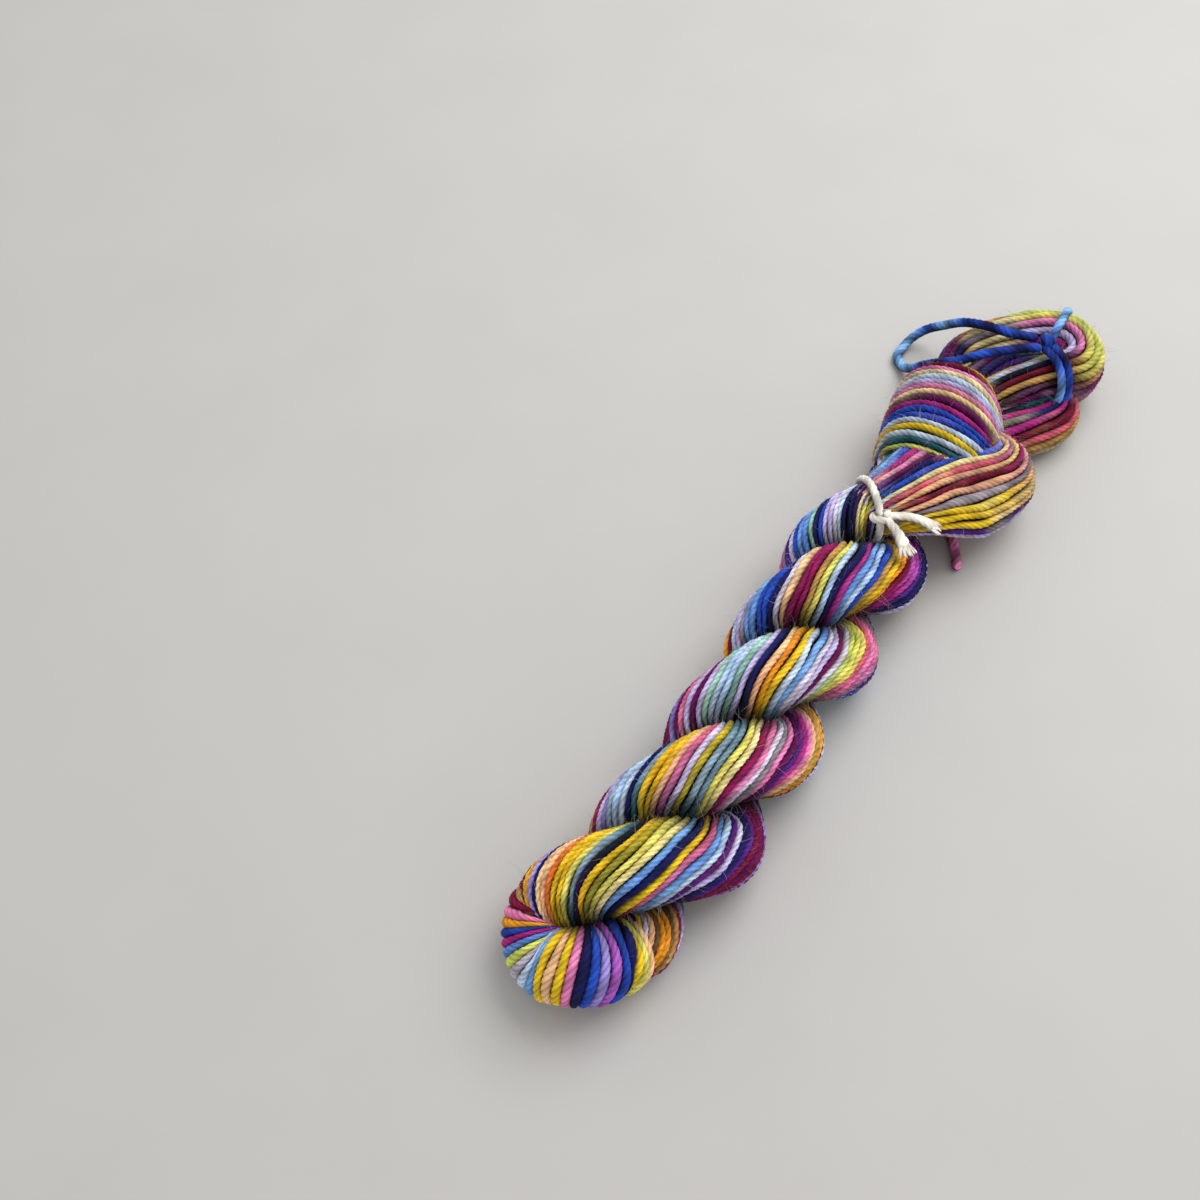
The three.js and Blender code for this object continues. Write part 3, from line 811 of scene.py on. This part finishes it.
steep_rows = rope_rows[(rope_rows[:, 6] > FOLD_FROM) & (rope_rows[:, 6] < FOLD_TO)]
steep_rows[:, 5] = np.interp(steep_rows[:, 6], *FOLD_LEAN)
steep_rows[:, 3:5] += np.interp(steep_rows[:, 6], *FOLD_THICKER)[:, None]
fold = wind(steep_rows, FOLD_STRANDS, FOLD_STEP, FOLD_WANDER)
# the fold's colour gets the same painted shade and painted light
fold_dye_and_painted_light = rope_dyes(fold, FOLD_DYES) * crease_light(fold)
half_width, half_height = turn_sizes(fold, FOLD_STRANDS)
fold_piece = yarn("fold_turns", fold["lines"], fold["outward"], half_width, half_height, fold_dye_and_painted_light, wool)
stand_for("skein")

# %% [markdown]
# ## The fan, the band and the end loops
# Past the tie the ply spreads like a fan and dives under a broad band, which is the other ply passing over it.
# Behind the band the hank ends in a loop that turns round on itself, with a smaller one below, and inner
# strands, dyed dark as painted shade, fill the middle. Sculpting such a tangle is slow to correct. As bundles,
# each is one short table.

# %% Shape the end bundles
# x, y, z, half width, half height, lean of the strands in degrees
FAN = np.array([
    [16.5, 7.2, 19.2, 4.6, 4.6, 15], [19.6, 5.6, 19.3, 5.9, 5.9, 15], [26.0, 2.4, 18.6, 8.8, 6.2, 12],
    [33.5, -0.8, 16.2, 12.2, 6.2, 8], [40.5, -4.2, 13.4, 14.2, 6.8, 4], [46.5, -7.4, 11.8, 12.8, 7.0, 0],
    [51.5, -9.4, 10.8, 10.2, 7.2, 0], [55.2, -8.6, 9.8, 7.8, 7.2, 0], [56.4, -4.8, 9.6, 6.5, 6.6, 0],
    [54.5, -0.5, 10.2, 6.0, 6.0, 0],
])
BAND = np.array([
    [50.0, 9.0, 5.0, 11.0, 4.0, 0], [50.8, 13.4, 9.0, 12.0, 4.4, 0], [51.6, 13.8, 13.6, 13.2, 4.6, 0],
    [52.4, 10.6, 17.4, 13.8, 4.8, 0], [53.2, 6.0, 18.8, 14.0, 5.0, 0], [53.8, 2.0, 18.4, 13.4, 5.0, 0],
    [54.6, -1.4, 16.0, 11.6, 4.8, 0], [55.6, -3.6, 11.4, 10.0, 4.6, 0], [56.0, -4.4, 7.4, 9.0, 4.4, 0],
])
END_LOOP = np.array([
    [60.0, 9.0, 5.8, 4.4, 5.0, 0], [66.0, 11.0, 5.8, 4.5, 5.1, 0], [72.0, 13.2, 5.9, 4.5, 5.2, 0],
    [77.0, 14.6, 6.4, 4.6, 6.0, 0], [82.0, 14.4, 7.2, 4.8, 6.8, 0], [86.2, 12.2, 8.2, 4.9, 7.3, 0],
    [90.2, 8.8, 9.2, 5.3, 7.8, 0], [93.8, 5.0, 9.8, 5.8, 8.2, 0], [96.8, 0.8, 10.0, 6.1, 8.6, 0],
    [98.1, -3.4, 10.0, 6.2, 8.5, 0], [97.0, -7.2, 9.8, 6.2, 8.4, 0], [94.0, -9.5, 9.6, 6.1, 8.2, 0],
    [90.4, -9.4, 9.6, 6.0, 8.0, 0], [86.6, -7.0, 9.9, 5.7, 7.4, 0], [81.4, -3.5, 10.0, 5.5, 7.0, 0],
    [75.5, 0.0, 9.6, 5.4, 6.6, 0], [69.0, 3.0, 9.0, 5.0, 6.0, 0],
])
LOW_LOOP = np.array([
    [60.0, -1.5, 7.6, 5.0, 5.4, 0], [64.5, -4.6, 7.4, 5.2, 5.8, 4], [70.0, -8.2, 6.8, 5.4, 5.8, 4],
    [76.0, -11.4, 6.2, 5.2, 5.6, 4], [80.2, -12.2, 6.0, 5.0, 5.4, 0], [83.6, -10.2, 6.2, 4.8, 5.2, 0],
    [84.4, -6.6, 6.6, 4.6, 5.0, 0], [82.8, -3.2, 7.0, 4.4, 4.8, 0],
])
HEART = np.array([
    [64.0, 8.0, 7.6, 5.0, 5.4, 0], [72.0, 7.6, 8.6, 5.2, 5.6, 0], [80.0, 5.6, 9.2, 4.8, 5.4, 0],
    [86.0, 2.4, 9.4, 4.6, 5.2, 0], [90.4, -1.4, 9.2, 4.4, 5.0, 0],
])
CORE = np.array([
    [14, 4.6, 10.6, 6.0, 6.0, 18], [26, 4.0, 10.8, 6.4, 6.4, 18], [36, 3.4, 11.0, 6.8, 6.6, 18],
    [46, 3.4, 11.0, 7.0, 6.8, 18], [56, 3.4, 10.7, 6.8, 6.4, 18], [64, 3.6, 10.0, 6.0, 5.8, 18],
])
print("rows of the end bundles:", [len(rows) for rows in (FAN, BAND, END_LOOP, LOW_LOOP, HEART, CORE)])

# %% [markdown]
# ## The colours of the end bundles
# These strands hardly lean, so each keeps its place round its bundle. Numbers of crossings make no sense
# here, but a chart can name the strands from one side of the bundle to the other. A bundle that turns round
# shows other dyes further along, so it has a chart for each stretch.

# %% Chart the dyes of the end bundles
# dark dyes on the inner bundles, which paint the shade in the gaps between the strands over them
INNER_PAINTED_SHADE = "navy plum ink maroon violet navy plum brown ink maroon navy plum"
# share of the path, first and last angle round the bundle in degrees, dyes
END_CHARTS = {
    "fan_turns": [
        (0.4, -105, 108, "straw teal sky blue magenta pink plum navy blue cream rose peach maroon peach "
                         "grey yellow yellow yellow violet lilac"),
    ],
    "band_turns": [
        (0.55, 78, -82, "lime teal ice yellow ice blue blue magenta plum cream pink lilac ice cream pink "
                        "maroon gold"),
    ],
    "end_loop_turns": [
        (0.22, 100, -70, "lilac maroon straw tan navy plum plum navy"),
        (0.36, 100, -90, "plum straw cream grey cream tan straw plum"),
        (0.5, 80, -100, "blue magenta lilac pink straw lime straw brown plum"),
        (0.62, 80, -100, "blue magenta lilac pink straw lime straw tan plum"),
        (0.8, 80, -100, "navy yellow ice ink maroon tan brown plum teal"),
    ],
    "low_loop_turns": [
        (0.45, -80, 110, "tan maroon magenta navy plum magenta maroon wine rose tan tan"),
    ],
    "heart_turns": [(0.5, 180, -180, INNER_PAINTED_SHADE)],
    "core_turns": [(0.5, 180, -180, INNER_PAINTED_SHADE)],
}
print("charts of the end bundles:", sum(len(charts) for charts in END_CHARTS.values()))

# %% [markdown]
# ## Dyeing the end bundles
# Each chart holds at one place of the path. Between two places a strand's dye has to change somewhere, and a
# short blend halfway looks more like real dye than one long blend, which would turn everything grey.

# %% Dye the end bundles
PAST_ENDS = 0.25
CHART_BLEND = 0.4
END_DRIFT = 0.35
END_DRIFT_WAVES = (10 * MM, 40 * MM)


def charted_dyes(wound, charts):
    """Each strand's dye along its run: at each chart's place, the strand's angle picks a name from the
    chart, and halfway between places one name's light blends into the next. Angles that no chart reaches
    take a dye by chance, and so do both ends of the strand. Slow waves let a little of another dye in."""
    pot = light_of(DYE_NAMES)
    count, stations = wound["angle"].shape
    share = np.linspace(0, 1, stations)
    places, lights = [-PAST_ENDS], [pot[by_chance(count)]]
    for place, first, last, names in charts:
        angle = np.degrees((wound["angle"][:, int(place * (stations - 1))] + np.pi) % (2 * np.pi) - np.pi)
        chart = charted(names)
        step = np.floor((angle - first) / (last - first) * len(chart)).astype(int)
        reached = (step >= 0) & (step < len(chart))
        places.append(place)
        lights.append(pot[np.where(reached, chart[np.clip(step, 0, len(chart) - 1)], by_chance(count))])
    places = np.array(places + [1 + PAST_ENDS])
    lights = np.stack(lights + [pot[by_chance(count)]])
    before = np.clip(np.searchsorted(places, share, side="right") - 1, 0, len(places) - 2)
    blend = (share - places[before]) / (places[before + 1] - places[before])
    blend = np.clip((blend - 0.5) / CHART_BLEND + 0.5, 0, 1)[:, None, None]
    light = ((1 - blend) * lights[before] + blend * lights[before + 1]).swapaxes(0, 1)
    other = pot[by_chance(count)][:, None]
    waves = slow_waves(count, np.broadcast_to(wound["run"], light.shape[:2]), *END_DRIFT_WAVES)
    drift = np.clip(END_DRIFT * waves, 0, 1)[..., None]
    return (1 - drift) * light + drift * other


print(f"a blend takes {CHART_BLEND:.0%} of the way between two charts")

# %% [markdown]
# ## The turns of the end bundles
# Each bundle gets as many strands as fit side by side round it. The band climbs, so it is told which way is
# across it, and its section is a little squarer than an ellipse, as a band of yarn that lies flat is.

# %% Wind the end bundles
ACROSS_BAND = np.array([-0.95, -0.27, -0.12])
END_WANDER = 0.15
# name, rows, strands, direction across, squareness
ENDS = [
    ("fan_turns", FAN, 34, None, 1.0),
    ("band_turns", BAND, 38, ACROSS_BAND, 0.8),
    ("end_loop_turns", END_LOOP, 19, None, 1.0),
    ("low_loop_turns", LOW_LOOP, 15, None, 1.0),
    ("heart_turns", HEART, 12, None, 1.0),
    ("core_turns", CORE, 18, None, 1.0),
]
hairy = [(rope["lines"], rope["outward"], rope_dye_and_painted_light)]
for name, rows, strands, across, square in ENDS:
    wound = wind(rows, strands, STATION_STEP, END_WANDER, across, square=square)
    half_width, half_height = strand_sizes(wound["lines"])
    end_dye = charted_dyes(wound, END_CHARTS[name])
    hairy.append((wound["lines"], wound["outward"], end_dye))
    end_piece = yarn(name, wound["lines"], wound["outward"], half_width, half_height, end_dye, wool)
    stand_for("skein")

# %% [markdown]
# ## The binding
# The yarn's own end goes round both arms of the end loop and is tied between them, and the loose loop
# leaves that knot. A real knot crosses itself many times, and most of it is hidden. So one lap goes round
# both arms, a second lies beside it on the lower arm, and a short coil stands for the knot.

# %% Bind the end loop
BINDING = np.array([
    [88.0, -2.8, 17.8], [89.8, -2.6, 18.8], [92.0, -2.3, 19.4], [94.8, -2.0, 19.5], [98.8, -1.4, 18.4],
    [102.4, -0.9, 15.4], [104.2, -0.7, 11.0], [102.6, -1.2, 5.4], [97.0, -3.0, 2.6], [90.6, -5.0, 2.4],
    [85.6, -7.0, 3.2], [82.2, -10.0, 5.6], [81.9, -11.7, 9.6], [82.6, -11.5, 13.4], [83.9, -10.0, 16.4],
    [85.1, -7.8, 18.2], [86.4, -5.4, 18.4], [87.8, -3.0, 17.8],
]) * MM
LOWER_ARM = slice(10, None)
LAP_ASIDE = np.array([-1.5, 1.0, -0.2]) * MM
LAP_STEP = 0.4 * MM
LAP_DYES = "blue sky sky sky blue navy navy navy navy blue blue navy blue"
KNOT_DYES = "navy blue sky blue navy"
KNOT_PLACE = np.array([87.6, -2.2, 18.2]) * MM
KNOT_ACROSS, KNOT_ALONG = np.array([0.55, 0.83, 0.0]), np.array([0.83, -0.55, 0.0])
KNOT_TURNS, KNOT_STATIONS, KNOT_RADIUS = 1.7, 60, 1.25 * MM
# the angle in which the coil moves on by its own radius
KNOT_PITCH = 10.7


def blue_yarn(name, path, around, half, dyes):
    """One strand of the bound end along a path, facing away from the place it goes round."""
    size = np.full((1, len(path)), half)
    dye = dye_along(np.linspace(0, 1, len(path)), dyes)
    piece = yarn(name, path[None], (path - around)[None], size, size, dye, wool, thread_tone=CORD_TONE)
    stand_for("skein")


first_lap, _ = smooth_rows(BINDING, LAP_STEP)
second_lap, _ = smooth_rows(BINDING[LOWER_ARM] + LAP_ASIDE, LAP_STEP)
turned = np.linspace(0, KNOT_TURNS * 2 * np.pi, KNOT_STATIONS)[:, None]
onward = (turned / KNOT_PITCH - 0.5) * KNOT_ALONG
knot_path = KNOT_PLACE + KNOT_RADIUS * (np.cos(turned) * KNOT_ACROSS + np.sin(turned) * UP + onward)
arms_middle = first_lap.mean(axis=0)
blue_yarn("binding_first_lap", first_lap, arms_middle, 0.5 * YARN_DIAMETER, LAP_DYES)
blue_yarn("binding_second_lap", second_lap, arms_middle, 0.48 * YARN_DIAMETER, KNOT_DYES)
blue_yarn("binding_knot", knot_path, KNOT_PLACE, 0.45 * YARN_DIAMETER, KNOT_DYES)

# %% [markdown]
# ## Where fibres stand out
# Wool is never quite smooth: the ends of its fibres stand out of the yarn as a thin haze. They could grow
# anywhere, but none shows underneath. So spots are picked by chance on the strands' upper sides alone.

# %% Pick the roots of stray fibres
FIBRE_LOWEST = -0.25
FIBRE_ROOT = 0.4 * YARN_DIAMETER


def fibre_roots(sources, count):
    """Random spots on the upper side of strands: the place on the strand's outside, the directions outward
    and along it, and the dye there. Each source has a share of the spots by its size."""
    upper = [np.argwhere(outward[..., 2] > FIBRE_LOWEST) for _, outward, _ in sources]
    total = sum(len(spots) for spots in upper)
    found = []
    for (lines, outward, dye), spots in zip(sources, upper):
        picked = spots[chance.integers(0, len(spots), int(count * len(spots) / total))]
        at = tuple(picked.T)
        tangent = unit(np.gradient(lines, axis=1))
        found.append((lines[at] + FIBRE_ROOT * outward[at], outward[at], tangent[at], dye[at]))
    return (np.concatenate(part) for part in zip(*found))


print("bundles with stray fibres:", len(hairy))

# %% [markdown]
# ## Stray fibres
# The haze softens every outline. A hair system would give it, but an exported mesh loses that. So a few
# thousand fine tubes of three sides each leave a strand and bend over along it.

# %% Let stray fibres stand out
FIBRES = 3400
FIBRE_RADIUS = 0.035 * MM
FIBRE_TAPER = 0.75
FIBRE_LENGTHS = (1.2, 3.6)
FIBRE_BEND = 0.4
FIBRE_STATIONS, FIBRE_SIDES = 5, 3
# how far a fibre leans outward, along its strand and any way
LEAN_OUT, LEAN_ALONG, LEAN_ANY = 0.7, 0.7, 0.4
# the share of the dye that a fibre keeps, and the white of a painted sheen that is added
FIBRE_DYE, FIBRE_PAINTED_SHEEN = 0.5, 0.25


def stray_fibres(name, sources, count, material):
    """Fibres from random roots: the length times a share along a random direction between outward and along
    the strand, plus a bend by the share squared. They get thinner towards the tip, and paler than the dye by a
    painted sheen."""
    root, out, along, dye = fibre_roots(sources, count)
    number = len(root)
    lean = LEAN_OUT * out + along * chance.normal(0, LEAN_ALONG, (number, 1))
    lean = unit(lean + chance.normal(0, LEAN_ANY, (number, 3)))
    length = chance.uniform(*FIBRE_LENGTHS, (number, 1, 1)) * MM
    bend = FIBRE_BEND * unit(chance.normal(0, 1, (number, 3)))
    share = np.linspace(0, 1, FIBRE_STATIONS)[None, :, None]
    path = root[:, None] + length * (share * lean[:, None] + share ** 2 * bend[:, None])
    tangent = unit(np.gradient(path, axis=1))
    side = unit(np.cross(tangent, chance.normal(0, 1, (number, 1, 3))))
    third = np.cross(tangent, side)
    angle = 2 * np.pi * np.arange(FIBRE_SIDES)[:, None] / FIBRE_SIDES
    thin = FIBRE_RADIUS * (1 - FIBRE_TAPER * share)[..., None]
    ring = np.cos(angle) * side[:, :, None] + np.sin(angle) * third[:, :, None]
    points = path[:, :, None] + thin * ring
    points[..., 2] = np.maximum(points[..., 2], FLOOR_GAP)
    colour = np.zeros(points.shape[:3] + (4,))
    # a fibre keeps part of its dye and gets a painted sheen of white
    colour[..., :3] = (FIBRE_DYE * dye + FIBRE_PAINTED_SHEEN)[:, None, None]
    run = np.broadcast_to(length[..., 0] * share[..., 0], path.shape[:2])
    return put_mesh(name, points, colour, run, material)


fibre_piece = stray_fibres("stray_fibres", hairy, FIBRES, wool)
stand_for("skein")

# %% [markdown]
# ## The cotton tie
# A length of soft undyed string goes once round the ply and is knotted on top. One long tube through the
# knot would pinch in its tight bends. So the ring is one strand round the ply, and the knot is a strand of
# its own that winds round the spot where the ring closes.

# %% Tie the ring and the knot
cotton = fibre_material("undyed cotton", sheen=0.1, roughness=0.85, groove_shade=0.8)
COTTON_LIGHT = np.array([0.90, 0.86, 0.78])
COTTON_GROOVE = 0.22
COTTON_HALF = 0.95 * MM
COTTON_TWIST = 6 * MM
TIE_PLACE = np.array([19.6, 5.6, 18.6]) * MM
TIE_ALONG = unit(np.array([0.77, -0.63, -0.04]))
TIE_RADIUS = 6.7 * MM
TIE_KNOT = np.array([16.3, 1.2, 23.0]) * MM
TIE_KNOT_TURNS, TIE_KNOT_RADIUS, TIE_KNOT_WIDTH = 1.6, 1.5 * MM, 1.8 * MM
RING_STATIONS, WRAP_STATIONS = 90, 60


def cotton_piece(name, lines, outward, half_width, half_height, twist):
    """Plied cotton along lines, with one light for all of it."""
    dye = np.broadcast_to(COTTON_LIGHT, lines.shape)
    piece = yarn(name, lines, np.broadcast_to(outward, lines.shape), half_width, half_height, dye, cotton,
                 twist=twist, groove_depth=COTTON_GROOVE)
    stand_for("tie")


tie_up = unit(TIE_KNOT - TIE_PLACE - ((TIE_KNOT - TIE_PLACE) @ TIE_ALONG) * TIE_ALONG)
tie_side = np.cross(TIE_ALONG, tie_up)
ring_angle = np.linspace(0.0, 2 * np.pi, RING_STATIONS)[:, None]
ring_out = np.cos(ring_angle) * tie_up + np.sin(ring_angle) * tie_side
ring_lines = (TIE_PLACE + TIE_RADIUS * ring_out)[None]
ring_half = np.full(ring_lines.shape[:2], COTTON_HALF)
cotton_piece("tie_ring", ring_lines, ring_out, ring_half, ring_half, COTTON_TWIST)

wrap = np.linspace(0, 1, WRAP_STATIONS)[:, None]
wrap_angle = 2 * np.pi * TIE_KNOT_TURNS * wrap
knot_lines = (
    TIE_KNOT
    + TIE_KNOT_RADIUS * np.cos(wrap_angle) * tie_up
    + TIE_KNOT_RADIUS * np.sin(wrap_angle) * TIE_ALONG
    + TIE_KNOT_WIDTH * (wrap - 0.5) * tie_side
)[None]
knot_half = np.full(knot_lines.shape[:2], COTTON_HALF)
cotton_piece("tie_knot", knot_lines, knot_lines - TIE_KNOT, knot_half, knot_half, COTTON_TWIST)

# %% [markdown]
# ## The tie's free ends
# Two short ends leave the knot, and where soft string is cut its threads open. A flat cut would look like
# a pipe's. So each end widens towards its cut, and a few fine strands of the same cotton run on past it.

# %% Fray the free ends
# x, y, z, half width, half height
TIE_ENDS = {
    "tie_long_end": np.array([
        [16.0, 1.6, 23.4, 0.9, 0.9], [18, -1.4, 23.7, 1.0, 0.9], [20, -3.8, 23.0, 1.1, 0.9],
        [21.6, -6.0, 21.8, 1.3, 0.9], [22.8, -8.2, 20.4, 1.7, 0.9],
    ]) * MM,
    "tie_short_end": np.array([
        [16.6, 1.0, 23.4, 0.9, 0.9], [15.6, -1.4, 23.6, 1.0, 0.9], [14.6, -4.0, 23.0, 1.3, 0.9],
        [13.2, -6.6, 22.0, 1.8, 0.8],
    ]) * MM,
}
END_STEP = 0.3 * MM
END_TWIST, TIP_TWIST = 7 * MM, 3 * MM
TIP_THREADS, TIP_STATIONS, TIP_HALF = 9, 9, 0.28 * MM
TIP_LENGTHS, TIP_DROOPS = (1.2, 2.4), (-0.4, 0.5)
# the share of a thread's length that lies inside the end, and the tip's width and flare
TIP_INSIDE, TIP_WIDTH, TIP_FLARE = 0.6, 0.7, 0.35


def frayed_tip(name, rows):
    """Fine threads that leave the end of a string: each starts across the last section and runs on along
    the end, spread sideways by its share of the width, with a seeded length and droop."""
    end, half = rows[-1, :3], rows[-1, 3]
    onward = unit(end - rows[-2, :3])
    aside = unit(np.cross(onward, UP))
    spread = np.linspace(-1, 1, TIP_THREADS)[:, None, None]
    step = np.linspace(-TIP_INSIDE, 1, TIP_STATIONS)[None, :, None]
    length = chance.uniform(*TIP_LENGTHS, (TIP_THREADS, 1, 1)) * MM
    droop = chance.uniform(*TIP_DROOPS, (TIP_THREADS, 1, 1)) * MM
    flare = (TIP_WIDTH + TIP_FLARE * step) * spread * half * aside
    lines = end + length * step * onward + flare - droop * step * UP
    thin = np.full(lines.shape[:2], TIP_HALF)
    cotton_piece(name, lines, UP, thin, thin, TIP_TWIST)


for name, rows in TIE_ENDS.items():
    path, _ = smooth_rows(rows, END_STEP)
    cotton_piece(name, path[None, :, :3], UP, path[None, :, 3], path[None, :, 4], END_TWIST)
    frayed_tip(name + "_tip", rows)

# %% [markdown]
# ## The floor
# The skein lies on a plain pale table. One large square is enough for it, with a faint grain so that it
# doesn't look like empty space.

# %% Lay the floor
FLOOR_HALF = 5.0
FLOOR_ROUGHNESS = 0.6
FLOOR_DARK, FLOOR_LIGHT = (0.485, 0.485, 0.48, 1), (0.525, 0.525, 0.52, 1)
pale = bpy.data.materials.new("pale table")
pale.use_nodes = True
pale_shader = pale.node_tree.nodes["Principled BSDF"]
pale_shader.inputs["Roughness"].default_value = FLOOR_ROUGHNESS
floor_place = new_node(pale.node_tree, "ShaderNodeTexCoord")
grain = new_node(pale.node_tree, "ShaderNodeTexNoise", {"Scale": 30, "Detail": 4})
paint = new_node(pale.node_tree, "ShaderNodeValToRGB")
for element, colour in zip(paint.color_ramp.elements, (FLOOR_DARK, FLOOR_LIGHT)):
    element.color = colour
join_nodes(pale.node_tree, [
    (floor_place, "Object", grain, "Vector"), (grain, "Fac", paint, "Fac"),
    (paint, "Color", pale_shader, "Base Color"),
])
floor_mesh = bpy.data.meshes.new("table_top")
floor_corners = FLOOR_HALF * np.array([[-1, -1, 0], [1, -1, 0], [1, 1, 0], [-1, 1, 0]])
floor_mesh.from_pydata(floor_corners.tolist(), [], [(0, 1, 2, 3)])
floor_mesh.materials.append(pale)
floor = bpy.data.objects.new("table_top", floor_mesh)
bpy.context.collection.objects.link(floor)
print(f"floor: {2 * FLOOR_HALF:.0f} m wide")

# %% [markdown]
# ## The light
# Soft studio light shows how round the strands are by a gentle shade on one side. A small lamp would throw
# hard shadows that hide the creases. So one large area light hangs high beyond the tucked end, as a window
# would, and an even world that is a little warm fills the shadows.

# %% Hang the light
LAMP_PLACE, LAMP_AIM = (0.40, -0.06, 0.60), (0.02, 0.0, 0.0)
LAMP_SIZE, LAMP_POWER, LAMP_COLOUR = 0.6, 3.8, (1.0, 0.99, 0.97)
ROOM_COLOUR, ROOM_STRENGTH = (1.0, 0.98, 0.95, 1), 0.72

lamp = bpy.data.lights.new("window", "AREA")
lamp.size = LAMP_SIZE
lamp.energy = LAMP_POWER
lamp.color = LAMP_COLOUR
window = bpy.data.objects.new("window", lamp)
window.location = LAMP_PLACE
window.rotation_euler = (Vector(LAMP_PLACE) - Vector(LAMP_AIM)).to_track_quat("Z", "Y").to_euler()
bpy.context.collection.objects.link(window)
world = bpy.data.worlds.new("room_light")
world.use_nodes = True
world.node_tree.nodes["Background"].inputs["Color"].default_value = ROOM_COLOUR
world.node_tree.nodes["Background"].inputs["Strength"].default_value = ROOM_STRENGTH
bpy.context.scene.world = world
print(f"light: {LAMP_SIZE} m wide, {LAMP_POWER} W, and a room of strength {ROOM_STRENGTH}")
